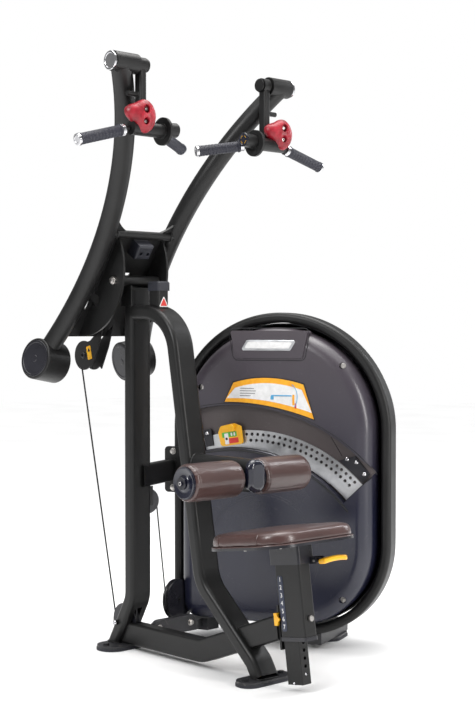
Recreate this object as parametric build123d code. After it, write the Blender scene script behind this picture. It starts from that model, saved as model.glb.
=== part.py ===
from build123d import *
import os
from math import asin, atan2, cos, hypot, radians, sin, sqrt

# Lat pulldown machine, millimetres. The origin is on the floor under the rear foot. +X is the user's
# right, towards the weight tower, +Y is the way the seated user faces, and +Z is up.
# Pairs of numbers along the main frame are (Y, Z) in the plane X = 0. The arm is drawn in its own
# plane as (X, S, N) and the tower in its own plane as (S, Z, W).

# Main frame tubes
TUBE_WIDE = 87
TUBE_DEEP = 49
TUBE_ROUND = 15
TUBE_WALL = 3
UPRIGHT_Y = -68
UPRIGHT_ROUTE = [(UPRIGHT_Y, 1236), (UPRIGHT_Y, 180), (28, 8)]
UPRIGHT_BEND = 90
FRONT_ROUTE = [(-62, 1161), (-272, 1157), (-425, 278), (-664, 62), (-692, 16)]
FRONT_BENDS = [145, 130, 50]
BASE_WIDE = 50
BASE_TALL = 76
BASE_MID_Z = 54
BASE_ROUTE = [(20, BASE_MID_Z), (-414, BASE_MID_Z), (-800, 198)]
BASE_BEND = 130

# Feet
FOOT_PAD = 8
FOOT_PLATE = 8
FOOT_TOP = FOOT_PAD + FOOT_PLATE
REAR_FOOT = (220, 108)
FRONT_FOOT = (206, 84)
FRONT_FOOT_Y = -686
TOWER_FOOT = (150, 76)
ANCHOR_R = 6.5
REAR_ANCHOR = 85
FRONT_ANCHOR = 78

# Arm pivot, arm stop
PIVOT_Y = -66
PIVOT_Z = 1268
PIVOT_R = 18
PIVOT_HALF = 89
AXLE_R = 10
STOP_Y = -181
STOP_HALF = 26

# Arm plane: its origin, its lean and the bowed tubes
ARM_Y = -35
ARM_Z = 1336
ARM_LEAN = 33.6
ARM_R = 33
ARM_WALL = 3
BOW = [(209.6, -377, 0), (150, 140, -11), (345, 695, -12)]
ARM_TOP = 699
HANDLE_N = -11
ARM_BOTTOM = -411
WEIGHT_X = 196
LEAF_X = 95
LEAF_THICK = 8
CROSSBAR_S = 107
HOUSING_R = 31.5
HOUSING_IN = 288
SHAFT_IN = 250
HOUSING_OUT = 381
SWING_SHAFT_R = 14
WEIGHT_R = 71.5
WEIGHT_LONG = 105
WEIGHT_TILT = 12
CHEEK_Y = 205
CHEEK_Z = 1010
CHEEK_R = 52
CHEEK_X = 22

# Handles
SWING_Y = -412.7
SWING_Z = 1924.3
HUB_Z = 1722
HUB_Y = -440
GRIP_R = 17.5
PEG_Z = 1832

# Seat
SEAT_TILT = 8
SEAT_FOOT_Y = -828
SEAT_FOOT_Z = 178
SLEEVE_X = 25
SLEEVE_Y = (-64, 41)
POST_X = 19
POST_Y = (-27, 37.5)
POST_TOP = 122
GUIDE_Y = (48, 56)
SLEEVE_TOP = 254
PAD_BOTTOM = 276
PAD_THICK = 46
BOARD_THICK = 8
SADDLE_Y = (-75, 52)
LATCH_PITCH = 24
LATCH_H = 43
POINTER_H = 43
LEVER_Y = -89
LEVER_H = 214

# Thigh rollers
ROLLER_Y = -600
ROLLER_Z = 634
ROLLER_R = 60
ROLLER_IN = 44
ROLLER_OUT = 254
ROLLER_SHAFT_R = 12.5

# Tower
TOWER_TURN = -66.9
TOWER_X = 259
TOWER_Y = 19
RING_WIDE = 810
RING_DEEP = 76
RING_THICK = 35
RING_TOP = 1161
RING_CORNER = 330
RING_LOW = 45
SHROUD_GAP = 52
SHROUD_FRONT = 100
SHROUD_REAR = 190
SHROUD_WALL = 4
REAR_GROW = 15
REAR_LOW = 100
FRONT_LOW = 84
ARC_S = 270
ARC_Z = 150
WINDOW_IN = 540
WINDOW_OUT = 690
RIB_IN = 603
PLATE_S = 326
PLATE_Z = 207
PLATE_IN = 468
PLATE_OUT = 546
HOLE_ROWS = [(532, 22, -2.6, 2.23), (511, 20, -0.9, 2.34)]

# Link between the base tube and the tower
LINK_BACK = -109
LINK_THICK = 20
LINK_Z = 76
LINK_BOLTS = (47, 188)

# Cable and pulleys
CABLE_R = 2.5
REAR_PULLEY = (-6, 90, 56)
UPPER_PULLEY_Z = 510
UPPER_PULLEY_R = 38
TOWER_PULLEY_R = 64
TOWER_TANGENT = (112.7, -86.8, 145)
PULLEY_BORE = 5.05
PULLEY_AXLE = 5

UP = Vector(0, 0, 1)
X_AXIS = Vector(1, 0, 0)


def save(name, shape):
    solids = ShapeList(shape.solids())
    whole = solids[0] if len(solids) == 1 else Compound(children=list(solids))
    whole.label = name
    export_step(whole, f"parts/{name}.step")


def largest(shape):
    return shape.solids().sort_by(SortBy.VOLUME)[-1]


def block(x, y, z):
    """Box between two limits on each axis."""
    return Pos((x[0] + x[1]) / 2, (y[0] + y[1]) / 2, (z[0] + z[1]) / 2) * Box(
        x[1] - x[0], y[1] - y[0], z[1] - z[0]
    )


def rod(start, end, radius):
    """Round bar between two points."""
    start, end = Vector(*start), Vector(*end)
    return extrude(Plane(origin=start, z_dir=end - start) * Circle(radius), (end - start).length)


def tube_along(route, bends, wide, deep, corner, wall):
    """Outer envelope and hollow tube along a route in the plane X = 0."""
    path = FilletPolyline(*[(0, y, z) for y, z in route], radius=bends)
    start = Plane(origin=path @ 0, x_dir=(1, 0, 0), z_dir=path % 0)
    outer = sweep(start * RectangleRounded(wide, deep, corner), path=path)
    inner = sweep(start * RectangleRounded(wide - 2 * wall, deep - 2 * wall, corner - wall), path=path)
    return outer, outer - inner


# ---------------------------------------------------------------- main frame

upright_outer, upright_hollow = tube_along(
    UPRIGHT_ROUTE, UPRIGHT_BEND, TUBE_WIDE, TUBE_DEEP, TUBE_ROUND, TUBE_WALL
)
front_outer, front_hollow = tube_along(
    FRONT_ROUTE, FRONT_BENDS, TUBE_WIDE, TUBE_DEEP, TUBE_ROUND, TUBE_WALL
)
base_outer, base_hollow = tube_along(BASE_ROUTE, BASE_BEND, BASE_WIDE, BASE_TALL, 8, TUBE_WALL)
arm_plane = Plane(
    origin=(0, ARM_Y, ARM_Z),
    x_dir=(1, 0, 0),
    z_dir=(0, -cos(radians(ARM_LEAN)), -sin(radians(ARM_LEAN))),
)
tower_plane = Plane(
    origin=(TOWER_X, TOWER_Y, 0),
    x_dir=(cos(radians(TOWER_TURN)), sin(radians(TOWER_TURN)), 0),
    z_dir=(sin(radians(TOWER_TURN)), -cos(radians(TOWER_TURN)), 0),
)
seat_plane = Plane(
    origin=(0, SEAT_FOOT_Y, SEAT_FOOT_Z),
    x_dir=(1, 0, 0),
    z_dir=(0, sin(radians(SEAT_TILT)), cos(radians(SEAT_TILT))),
)
side_plane = Plane(origin=(0, 0, 0), x_dir=(0, 1, 0), z_dir=(1, 0, 0))


def tower_point(s, z, w):
    return tower_plane.from_local_coords(Vector(s, z, w))


def tower_block(s, z, w):
    return tower_plane.location * block(s, z, w)


def pulley_slot():
    """Slot for the rear pulley, through the foot of the upright and the end of the base tube."""
    y, _, r = REAR_PULLEY
    return block((-14, 14), (y - r - 14, y + r + 30), (FOOT_TOP + 2, 166))


def upright_tube():
    """Upright with a slot for the rear pulley and one for the upper pulley."""
    y, z, _ = REAR_PULLEY
    upper_slot = block((0, 50), (-90, -50), (UPPER_PULLEY_Z - 55, UPPER_PULLEY_Z + 52))
    tube = upright_hollow - pulley_slot() - upper_slot
    tube -= block((-60, 60), (-60, 90), (-40, FOOT_TOP))
    tube -= rod((-60, y, z), (60, y, z), PULLEY_AXLE + 0.3)
    return largest(tube)


def front_tube():
    tube = front_hollow - upright_outer - base_outer - block((-60, 60), (-760, -600), (-40, FOOT_TOP))
    return largest(tube)


def base_tube():
    """Base tube, coped to the upright behind and cut square to the seat post's guide plate."""
    tube = base_hollow - upright_outer
    tube = tube.solids().sort_by(Axis.Y)[0] - pulley_slot()
    beyond_guide = seat_plane.location * block((-60, 60), (-200, GUIDE_Y[1]), (-300, 300))
    return largest(tube - beyond_guide)


def oblong(long, wide, thick, holes):
    plate = extrude(SlotOverall(long, wide), thick)
    for x in (-holes, holes):
        plate -= Pos(x, 0, 0) * Cylinder(ANCHOR_R, 100)
    return plate


def feet(bottom, thick, grow):
    """The three oblong feet, at the height and thickness asked for."""
    rear = Pos(0, 0, bottom) * oblong(REAR_FOOT[0] + grow, REAR_FOOT[1] + grow, thick, REAR_ANCHOR)
    front = Pos(0, FRONT_FOOT_Y, bottom) * oblong(
        FRONT_FOOT[0] + grow, FRONT_FOOT[1] + grow, thick, FRONT_ANCHOR
    )
    at = tower_point(532, 0, -175)
    turn = TOWER_TURN + 90
    plain = extrude(SlotOverall(TOWER_FOOT[0] + grow, TOWER_FOOT[1] + grow), thick)
    tower = Pos(at.X, at.Y, bottom) * Rot(0, 0, turn) * plain
    return [rear, front, tower]


def pivot_housing():
    """Pivot tube carried by two plates that straddle the top of the upright."""
    tube = rod((-PIVOT_HALF, PIVOT_Y, PIVOT_Z), (PIVOT_HALF, PIVOT_Y, PIVOT_Z), PIVOT_R)
    half = TUBE_WIDE / 2
    body = tube + block((-half - 6, half + 6), (-94, -42), (1236, 1244))
    for x in ((-half - 6, -half), (half, half + 6)):
        body += block(x, (-94, -42), (1182, 1252))
    body -= rod((-100, PIVOT_Y, PIVOT_Z), (100, PIVOT_Y, PIVOT_Z), AXLE_R + 0.05)
    return largest(body - upright_outer)


def stop_block():
    """Steel block on the front tube that the arm comes to rest on."""
    body = block((-22, 22), (STOP_Y - STOP_HALF, STOP_Y + STOP_HALF), (1160, 1232))
    body = fillet(body.edges().filter_by(Axis.Z), 6)
    return largest(body - front_outer)


def stop_bumper():
    """Ribbed rubber cap on the stop block."""
    reach = STOP_HALF + 5
    body = block((-26, 26), (STOP_Y - reach, STOP_Y + reach), (1232, 1264))
    body = fillet(body.edges().filter_by(Axis.Z), 8)
    body = chamfer(body.faces().sort_by(Axis.Z)[-1].edges(), 5)
    for y in (-15, -5, 5, 15):
        body -= block((-30, 30), (STOP_Y + y - 1.5, STOP_Y + y + 1.5), (1261, 1270))
    return body


def link_tube():
    """Horizontal tube from the upright to the tower."""
    bar = tower_block((-25, 15), (562, 638), (46, 290))
    bar = fillet(bar.edges().filter_by(lambda e: abs((e % 0.5).Z) < 0.01 and e.length > 200), 10)
    core = tower_block((-21, 11), (566, 634), (40, 300))
    near_upright = block((-60, 0), (-200, 200), (500, 700))
    return largest(bar - core - upright_outer - near_upright)


def link_bracket():
    """Plate on the ring tube that the link tube is welded and bolted to."""
    plate = tower_block((-30, 36), (520, 684), (38, 46))
    plate = fillet(plate.edges().filter_by(lambda e: 7.5 < e.length < 8.5), 14)
    for z in (537, 667):
        plate -= tower_plane.location * Pos(3, z, 42) * Cylinder(5.5, 30)
    return plate


def base_link():
    """Round-ended bar that ties the base tube to the tower's foot frame."""
    bar = extrude(Plane.XZ.offset(-LINK_BACK) * Pos(118, LINK_Z) * SlotOverall(190, 52), LINK_THICK)
    lug = block((25, 44), (LINK_BACK - LINK_THICK, LINK_BACK), (52, 92))
    link = bar + lug - base_outer
    for x in LINK_BOLTS:
        link -= rod((x, LINK_BACK - 40, LINK_Z), (x, LINK_BACK + 10, LINK_Z), 6)
    return link


def fasteners():
    """Bolts of the links, and the screws of the shroud."""
    pieces = []
    front = LINK_BACK - LINK_THICK
    for x in LINK_BOLTS:
        head = rod((x, front - 7, LINK_Z), (x, front, LINK_Z), 10)
        pieces.append(head + rod((x, front, LINK_Z), (x, LINK_BACK, LINK_Z), 6))
    for z in (537, 667):
        head = tower_plane.location * Pos(3, z, 49) * Cylinder(9, 6)
        shank = tower_plane.location * Pos(3, z, 42) * Cylinder(5, 8)
        pieces.append(head + shank)
    for s, z in SHROUD_SCREWS:
        pieces.append(tower_plane.location * Pos(s, z, SCREW_W + 2) * Cylinder(7, 4))
    return pieces


# ---------------------------------------------------------------- thigh rollers


def roller_arm():
    """Oval tube from the front tube to the roller shaft."""
    face = Plane(origin=(0, -330, 642), x_dir=(1, 0, 0), z_dir=(0, -1, 0))
    outer = extrude(face * RectangleRounded(72, 105, 30), 312)
    inner = extrude(face * RectangleRounded(66, 99, 27), 312)
    arm = outer - inner - front_outer
    arm = arm.solids().sort_by(Axis.Y)[0]
    return arm - rod((-60, ROLLER_Y, ROLLER_Z), (60, ROLLER_Y, ROLLER_Z), ROLLER_SHAFT_R)


def roller_arm_cap():
    """Domed plastic cap on the end of the roller arm."""
    face = Plane(origin=(0, -642, 642), x_dir=(1, 0, 0), z_dir=(0, -1, 0))
    cap = extrude(face * RectangleRounded(72, 105, 30), 22)
    return fillet(cap.faces().sort_by(Axis.Y)[0].edges(), 16)


def roller_shaft():
    shaft = rod((-262, ROLLER_Y, ROLLER_Z), (262, ROLLER_Y, ROLLER_Z), ROLLER_SHAFT_R)
    for side in (-1, 1):
        shaft += rod((side * 262, ROLLER_Y, ROLLER_Z), (side * 265, ROLLER_Y, ROLLER_Z), 20)
        shaft += rod((side * 265, ROLLER_Y, ROLLER_Z), (side * 272, ROLLER_Y, ROLLER_Z), 9)
    return shaft


def roller_pad(side):
    near, far = side * (ROLLER_IN + 4), side * (ROLLER_OUT - 4)
    pad = rod((near, ROLLER_Y, ROLLER_Z), (far, ROLLER_Y, ROLLER_Z), ROLLER_R)
    pad = fillet(pad.edges(), 7)
    return pad - rod((0, ROLLER_Y, ROLLER_Z), (side * 300, ROLLER_Y, ROLLER_Z), 22)


def roller_core(side):
    """Plastic core tube with an end disc at each end of the pad."""
    core = rod((side * ROLLER_IN, ROLLER_Y, ROLLER_Z), (side * ROLLER_OUT, ROLLER_Y, ROLLER_Z), 22)
    for x in (ROLLER_IN, ROLLER_OUT - 4):
        core += rod((side * x, ROLLER_Y, ROLLER_Z), (side * (x + 4), ROLLER_Y, ROLLER_Z), 50)
    return core - rod((0, ROLLER_Y, ROLLER_Z), (side * 300, ROLLER_Y, ROLLER_Z), ROLLER_SHAFT_R + 0.05)


# ---------------------------------------------------------------- seat


def seat_post():
    """Fixed post with its row of holes, its web and the guide plate on the base tube's end."""
    post = block((-POST_X, POST_X), POST_Y, (-156, POST_TOP))
    post = fillet(post.edges().filter_by(Axis.Z), 3)
    post -= block((4 - POST_X, POST_X - 4), (POST_Y[0] + 5, POST_Y[1] - 4), (-152, POST_TOP - 4))
    for i in range(8):
        post -= Pos(0, POST_Y[0], LATCH_H + (i - 7) * LATCH_PITCH) * Rot(90, 0, 0) * Cylinder(5.5, 16)
    web = block((-7, 7), (POST_Y[1] - 1, GUIDE_Y[0] + 1), (-48, 80))
    guide = block((-19, 19), GUIDE_Y, (-52, 84))
    return seat_plane.location * (post + web + guide)


def seat_sleeve():
    """Sleeve that slides on the post, open along the front for the web."""
    x, (rear, front) = SLEEVE_X, SLEEVE_Y
    sleeve = block((-x, x), SLEEVE_Y, (-12, SLEEVE_TOP))
    sleeve = fillet(sleeve.edges().filter_by(Axis.Z), 6)
    sleeve -= block((3 - x, x - 3), (rear + 3, front - 3), (-20, SLEEVE_TOP + 10))
    sleeve -= block((-12, 12), (front - 10, front + 10), (-20, 232))
    sleeve -= Pos(0, rear, LATCH_H) * Rot(90, 0, 0) * Cylinder(5.05, 20)
    return seat_plane.location * sleeve


def sleeve_ring():
    """Plastic guide bush in the lower end of the sleeve."""
    x, (rear, front) = SLEEVE_X, SLEEVE_Y
    ring = block((-x - 2, x + 2), (rear - 2, front + 2), (-24, -12))
    ring = fillet(ring.edges().filter_by(Axis.Z), 7)
    ring += block((3.2 - x, x - 3.2), (rear + 3.2, front - 3.2), (-13, 8))
    ring -= block((-POST_X - 0.4, POST_X + 0.4), (POST_Y[0] - 0.4, POST_Y[1] + 0.4), (-40, 40))
    ring -= block((-12, 12), (0, front + 10), (-40, 40))
    return seat_plane.location * ring


def pad_outline(grow, bottom, top):
    """Rounded seat shape, a little narrower towards the front."""
    rear, front = -150 - grow, 200 + grow
    points = [(-198 - grow, rear), (198 + grow, rear), (178 + grow, front), (-178 - grow, front)]
    face = make_face(Polyline(*points, close=True))
    face = fillet(face.vertices(), 92 + grow)
    return Pos(0, 0, bottom) * extrude(face, top - bottom)


def seat_board():
    """Moulded board under the pad, with the steel saddle that sits on the sleeve."""
    bottom = PAD_BOTTOM - BOARD_THICK
    board = pad_outline(1, bottom, PAD_BOTTOM)
    saddle = block((-34, 34), SADDLE_Y, (SLEEVE_TOP - 46, bottom))
    saddle = fillet(saddle.edges().filter_by(Axis.Z), 8)
    saddle -= block((-SLEEVE_X, SLEEVE_X), SLEEVE_Y, (0, SLEEVE_TOP))
    saddle -= block((-12, 12), (SLEEVE_Y[1] - 10, 90), (0, SLEEVE_TOP - 20))
    low, high = LEVER_H - 9, LEVER_H + 11
    lugs = block((34, 54), (-72, -30), (low, high))
    for x in ((16, 22), (48, 54)):
        lugs += block(x, (LEVER_Y - 10, -70), (low, high))
    lugs -= Pos(35, LEVER_Y, LEVER_H) * Rot(0, 90, 0) * Cylinder(4.05, 60)
    return seat_plane.location * (board + saddle + lugs)


def seat_pad():
    pad = pad_outline(0, PAD_BOTTOM, PAD_BOTTOM + PAD_THICK)
    pad = fillet(pad.faces().sort_by(Axis.Z)[-1].edges(), 16)
    return seat_plane.location * pad


def seat_lever():
    """Hand lever on a cross pin behind the saddle, with its paddle out to the right."""
    pin = Pos(35, LEVER_Y, LEVER_H) * Rot(0, 90, 0) * Cylinder(4, 42)
    boss = Pos(35, LEVER_Y, LEVER_H) * Rot(0, 90, 0) * Cylinder(9, 24)
    neck = block((26, 44), (LEVER_Y - 34, LEVER_Y - 2), (LEVER_H - 7, LEVER_H + 4))
    paddle = block((28, 134), (LEVER_Y - 50, LEVER_Y - 20), (LEVER_H - 10, LEVER_H + 5))
    paddle = fillet(paddle.edges().filter_by(Axis.Z), 12)
    paddle = fillet(paddle.faces().sort_by(Axis.Z)[-1].edges(), 5)
    return seat_plane.location * (pin + boss + neck + paddle)


def latch_pin():
    """Spring pin in the back of the sleeve. Its nose stands just clear of the row of holes."""
    nose, rear = POST_Y[0] - 1, SLEEVE_Y[0]
    pin = Pos(0, (nose + rear - 3) / 2, LATCH_H) * Rot(90, 0, 0) * Cylinder(5, nose - rear + 3)
    head = Pos(0, rear - 6, LATCH_H) * Rot(90, 0, 0) * Cylinder(9, 6)
    return seat_plane.location * (pin + head)


def height_pointer():
    """Yellow pointer on the guide plate, aimed at the scale on the sleeve."""
    near, far = GUIDE_Y
    shape = Polyline((far, -19), (far, 19), (far - 14, 19), (far - 14, 10), (far - 24, 0), (far - 14, -10),
                     (far - 14, -19), close=True)
    arrow = extrude(Plane(origin=(-34, 0, POINTER_H), x_dir=(0, 1, 0), z_dir=(1, 0, 0)) * make_face(shape), 5)
    foot = block((-34, -19), (near, far), (POINTER_H - 19, POINTER_H + 19))
    return seat_plane.location * (arrow + foot)


# ---------------------------------------------------------------- tower

SHROUD_SCREWS = [(658, 980), (659, 190), (136, 900)]
SCREW_W = 80


def ring_path(inset):
    """Route of the ring tube's middle in the tower plane."""
    r_top = RING_WIDE / 2 - inset
    z_spring = RING_TOP - RING_WIDE / 2
    r_low = RING_CORNER - inset
    s_low = RING_WIDE - RING_CORNER
    z_low = RING_LOW + RING_CORNER
    left, right = inset, RING_WIDE - inset
    bend = sqrt(0.5)
    return [
        Line((left, 72), (left, z_spring)),
        ThreePointArc((left, z_spring), (RING_WIDE / 2, z_spring + r_top), (right, z_spring)),
        Line((right, z_spring), (right, z_low)),
        ThreePointArc((right, z_low), (s_low + r_low * bend, z_low - r_low * bend), (s_low, RING_LOW + inset)),
        Line((s_low, RING_LOW + inset), (330, RING_LOW + inset)),
    ]


def tower_ring():
    """Bent ring tube that stands the tower up."""
    path = Wire([tower_plane.location * part for part in ring_path(RING_THICK / 2)])
    start = Plane(origin=path @ 0, x_dir=tower_plane.z_dir, z_dir=path % 0)
    outer = sweep(start * RectangleRounded(RING_DEEP, RING_THICK, 14), path=path)
    inner = sweep(start * RectangleRounded(RING_DEEP - 6, RING_THICK - 6, 11), path=path)
    return outer, largest(outer - inner)


def tower_base(ring_outer):
    """Foot frame: a bar under the ring, a stub for the base link and a strut to the rear foot."""
    bar = tower_block((0, 345), (30, 72), (-25, 25))
    stub = tower_block((62, 108), (40, 72), (20, 170))
    strut = tower_block((502, 562), (FOOT_TOP, 60), (-248, 30))
    posts = tower_block((160, 190), (70, 100), (-20, 20))
    frame = bar + stub + posts - ring_outer
    frame -= block((0, 400), (-260, LINK_BACK), (0, 120))
    strut -= ring_outer
    return [largest(frame), largest(strut)]


def shroud_outline(inset, low):
    """Outline of the shroud, inside the ring."""
    gap = SHROUD_GAP + inset
    r_top = RING_WIDE / 2 - gap
    z_spring = RING_TOP - RING_WIDE / 2
    z_low = RING_LOW + RING_CORNER
    r_low = z_low - low - inset
    right = RING_WIDE - gap
    s_low = right - r_low
    corner = 62 - inset
    bend = sqrt(0.5)
    edges = [
        Line((gap, z_spring), (gap, low + inset + corner)),
        ThreePointArc(
            (gap, low + inset + corner),
            (gap + corner * (1 - bend), low + inset + corner * (1 - bend)),
            (gap + corner, low + inset),
        ),
        Line((gap + corner, low + inset), (s_low, low + inset)),
        ThreePointArc(
            (s_low, low + inset), (s_low + r_low * bend, z_low - r_low * bend), (right, z_low)
        ),
        Line((right, z_low), (right, z_spring)),
        ThreePointArc((right, z_spring), (RING_WIDE / 2, z_spring + r_top), (gap, z_spring)),
    ]
    return make_face(Wire(edges))


def arc_band(r_in, r_out, start, end, w, centre=(ARC_S, ARC_Z)):
    """Band about an arc centre. Angles are degrees to the right of straight up."""
    a, b, m = (radians(v) for v in (start, end, (start + end) / 2))

    def at(r, angle):
        return (centre[0] + r * sin(angle), centre[1] + r * cos(angle))

    edges = [
        ThreePointArc(at(r_in, a), at(r_in, m), at(r_in, b)),
        Line(at(r_in, b), at(r_out, b)),
        ThreePointArc(at(r_out, b), at(r_out, m), at(r_out, a)),
        Line(at(r_out, a), at(r_in, a)),
    ]
    return Pos(0, 0, w[0]) * extrude(make_face(Wire(edges)), w[1] - w[0])


def half_shroud(depth, rounding, low, grow=0):
    """Pillow-shaped half shell, open at the back, standing on the plane W = 0."""
    outer = extrude(shroud_outline(-grow, low), depth)
    outer = fillet(outer.faces().sort_by(Axis.Z)[-1].edges(), rounding)
    inner = extrude(shroud_outline(SHROUD_WALL - grow, low), depth - SHROUD_WALL)
    inner = fillet(inner.faces().sort_by(Axis.Z)[-1].edges(), rounding - SHROUD_WALL)
    return outer, inner


def cable_way(g):
    """Room for the tower pulley and for the cable behind it."""
    c, a = g["centre3"], g["axis3"]
    wheel = rod(tuple(c - a * 15), tuple(c + a * 15), TOWER_PULLEY_R + 12)
    return wheel + rod(tuple(g["leave3"]), tuple(g["end"]), 8)


def shroud_front(g):
    """Front shell with the curved window pocket, the badge panel and three screw pockets."""
    outer, inner = half_shroud(SHROUD_FRONT, 50, FRONT_LOW)
    shell = outer - inner
    pocket = arc_band(WINDOW_IN - 4, WINDOW_OUT + 4, -14, 47.5, (60, SHROUD_FRONT)) & outer
    shell += pocket - arc_band(WINDOW_IN, WINDOW_OUT, -13.5, 47, (64, SHROUD_FRONT + 20))
    shell -= arc_band(WINDOW_IN, WINDOW_OUT, -13.5, 47, (64, SHROUD_FRONT + 20))
    badge = make_face(Polyline((252, 1098), (538, 1098), (519, 1004), (272, 1004), close=True))
    panel = Pos(0, 0, 60) * extrude(badge, 44)
    panel = fillet(panel.edges().filter_by(lambda e: abs((e % 0.5).Z) > 0.9), 8)
    shell += panel - inner
    for s, z in SHROUD_SCREWS:
        boss = (Pos(s, z, 86) * Cylinder(15, 28)) & outer
        shell += boss
        shell -= Pos(s, z, SCREW_W + 30) * Cylinder(12, 60)
    return largest(tower_plane.location * shell - cable_way(g))


def shroud_rear(g):
    """Rear shell, with the slot that the cable goes in by."""
    outer, inner = half_shroud(SHROUD_REAR, 50, REAR_LOW, REAR_GROW)
    shell = mirror(outer - inner, about=Plane.XY)
    shell = Pos(0, 0, -0.2) * shell
    shell -= block((155, 195), (70, 110), (-27, 0))
    return largest(tower_plane.location * shell - cable_way(g))


def window_panel():
    """Tinted panel on the floor of the window pocket, ribbed along its lower edge."""
    panel = arc_band(WINDOW_IN + 1, WINDOW_OUT - 1, -13, 46.5, (64, 66.5))
    panel += arc_band(RIB_IN, WINDOW_OUT - 3, -12.5, 46, (66.5, 70))
    return tower_plane.location * panel


def plate_point(r, angle):
    """Point about the quadrant plate's own centre, with the angle in degrees."""
    return (PLATE_S + r * sin(radians(angle)), PLATE_Z + r * cos(radians(angle)))


def weight_quadrant():
    """Arc plate with two staggered rows of holes that the selector is set on."""
    plate = arc_band(PLATE_IN, PLATE_OUT, -22, 46.8, (70, 75), (PLATE_S, PLATE_Z))
    plate &= arc_band(WINDOW_IN + 2, WINDOW_OUT - 2, -13, 46.8, (60, 80))
    for r, count, first, pitch in HOLE_ROWS:
        for i in range(count):
            plate -= Pos(*plate_point(r, first + pitch * i), 72) * Cylinder(5.5, 12)
    spacers = arc_band(WINDOW_IN + 3, WINDOW_IN + 9, -12.5, 38, (66.5, 70))
    return tower_plane.location * (plate + spacers)


def quadrant_brackets():
    """End clamps of the quadrant, and the hub of the weight arm behind it."""
    clamp = [plate_point(552, 35), plate_point(600, 38.5), plate_point(590, 46), plate_point(552, 46.5)]
    right = Pos(0, 0, 70) * extrude(make_face(Polyline(*clamp, close=True)), 7)
    right &= arc_band(WINDOW_IN, WINDOW_OUT - 8, -13, 46.9, (60, 90))
    left = arc_band(552, 612, -12.6, -9.6, (75.2, 81))
    lever_hub = Pos(ARC_S, ARC_Z, -92.5) * Cylinder(16, 181)
    return [tower_plane.location * piece for piece in (right, left, lever_hub)]


def selector():
    """Carriage on the quadrant, with its finger plate and knob."""
    centre = (PLATE_S, PLATE_Z)
    slide = arc_band(499, 544, -12, -5, (75.4, 84), centre)
    tag = arc_band(499, 570, -12.6, -4, (84, 91), centre)
    tag = fillet(tag.edges().filter_by(lambda e: abs((e % 0.5).Z) > 0.9), 8)
    knob = Pos(*plate_point(552, -8), 98) * Cylinder(13, 14)
    return tower_plane.location * (slide + tag + knob)


def weight_lever():
    """Weight arm on the hub behind the shroud, with three plates."""
    angle = radians(42)
    tip = (ARC_S + 420 * sin(angle), ARC_Z + 420 * cos(angle))
    bar = Pos(0, 0, -100) * extrude(
        Pos((ARC_S + tip[0]) / 2, (ARC_Z + tip[1]) / 2) * Rot(0, 0, 90 - 42) * Rectangle(420, 50), 12
    )
    hub = Pos(ARC_S, ARC_Z, -94) * Cylinder(34, 30)
    body = bar + hub
    for i in range(3):
        body += Pos(tip[0], tip[1], -112 + 18.5 * (i - 1)) * Cylinder(84, 18)
    body += Pos(tip[0], tip[1], -105) * Cylinder(14, 80)
    body -= Pos(ARC_S, ARC_Z, -94) * Cylinder(16.05, 200)
    return tower_plane.location * body


# ---------------------------------------------------------------- arm


def bowed_tube(side):
    """Outer envelope of one bowed arm tube, in the arm plane."""
    path = ThreePointArc(*[(side * x, s, n) for x, s, n in BOW])
    start = Plane(origin=path @ 0, z_dir=path % 0)
    outer = sweep(start * Circle(ARM_R), path=path)
    inner = sweep(start * Circle(ARM_R - ARM_WALL), path=path)
    return outer, outer - inner


def housing_at(side):
    a = (side * HOUSING_IN, ARM_TOP, HANDLE_N)
    b = (side * HOUSING_OUT, ARM_TOP, HANDLE_N)
    return rod(a, b, HOUSING_R)


def counterweight_at(side):
    tilt = radians(WEIGHT_TILT)
    half = WEIGHT_LONG / 2
    centre = Vector(side * WEIGHT_X, ARM_BOTTOM, 0)
    along = Vector(side * cos(tilt), sin(tilt), 0)
    return rod(tuple(centre - along * half), tuple(centre + along * half), WEIGHT_R)


def arm_tube(side):
    tube = bowed_tube(side)[1] - housing_at(side) - counterweight_at(side)
    return arm_plane.location * largest(tube)


def arm_crossbar():
    bar = rod((-170, CROSSBAR_S, 4), (170, CROSSBAR_S, 4), 14)
    for side in (-1, 1):
        bar -= bowed_tube(side)[0]
    middle = bar.solids().sort_by(Axis.X)
    return arm_plane.location * middle[len(middle) // 2]


def arm_back_plate():
    """Plate between the arm tubes, with the gussets that run up beside each tube."""
    face = Polyline((-200, 90), (200, 90), (200, -310), (-200, -310), close=True)
    plate = Pos(0, 0, -6) * extrude(make_face(face), 6)
    for s, x in ((-52, 0), (-180, -118), (-180, 118)):
        plate -= Pos(x, s, 0) * Rot(0, 0, 0 if x == 0 else 90) * extrude(SlotOverall(34, 13), 40, both=True)
    for side in (-1, 1):
        plate -= bowed_tube(side)[0]
    return arm_plane.location * plate.solids().sort_by(SortBy.VOLUME)[-1]


def pivot_plates():
    """Two lens-shaped plates that carry the arm on its axle, and the two upper gussets."""
    chord = Line((-306, 0.2), (94, 0.2))
    back = ThreePointArc((94, 0.2), (-82, 121), (-306, 0.2))
    lens = make_face(Wire([chord, back]))
    pieces = []
    for side in (-1, 1):
        plate = Pos(side * LEAF_X - LEAF_THICK / 2, 0, 0) * extrude(side_plane * lens, LEAF_THICK)
        plate -= Pos(side * LEAF_X, -151, 12) * Rot(0, 90, 0) * Cylinder(21, 20)
        plate -= rod((-170, CROSSBAR_S, 4), (170, CROSSBAR_S, 4), 14)
        world = arm_plane.location * plate
        world -= rod((-120, PIVOT_Y, PIVOT_Z), (120, PIVOT_Y, PIVOT_Z), AXLE_R)
        pieces.append(largest(world))
        pieces.append(arm_plane.location * arm_gusset(side))
    return pieces


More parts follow.
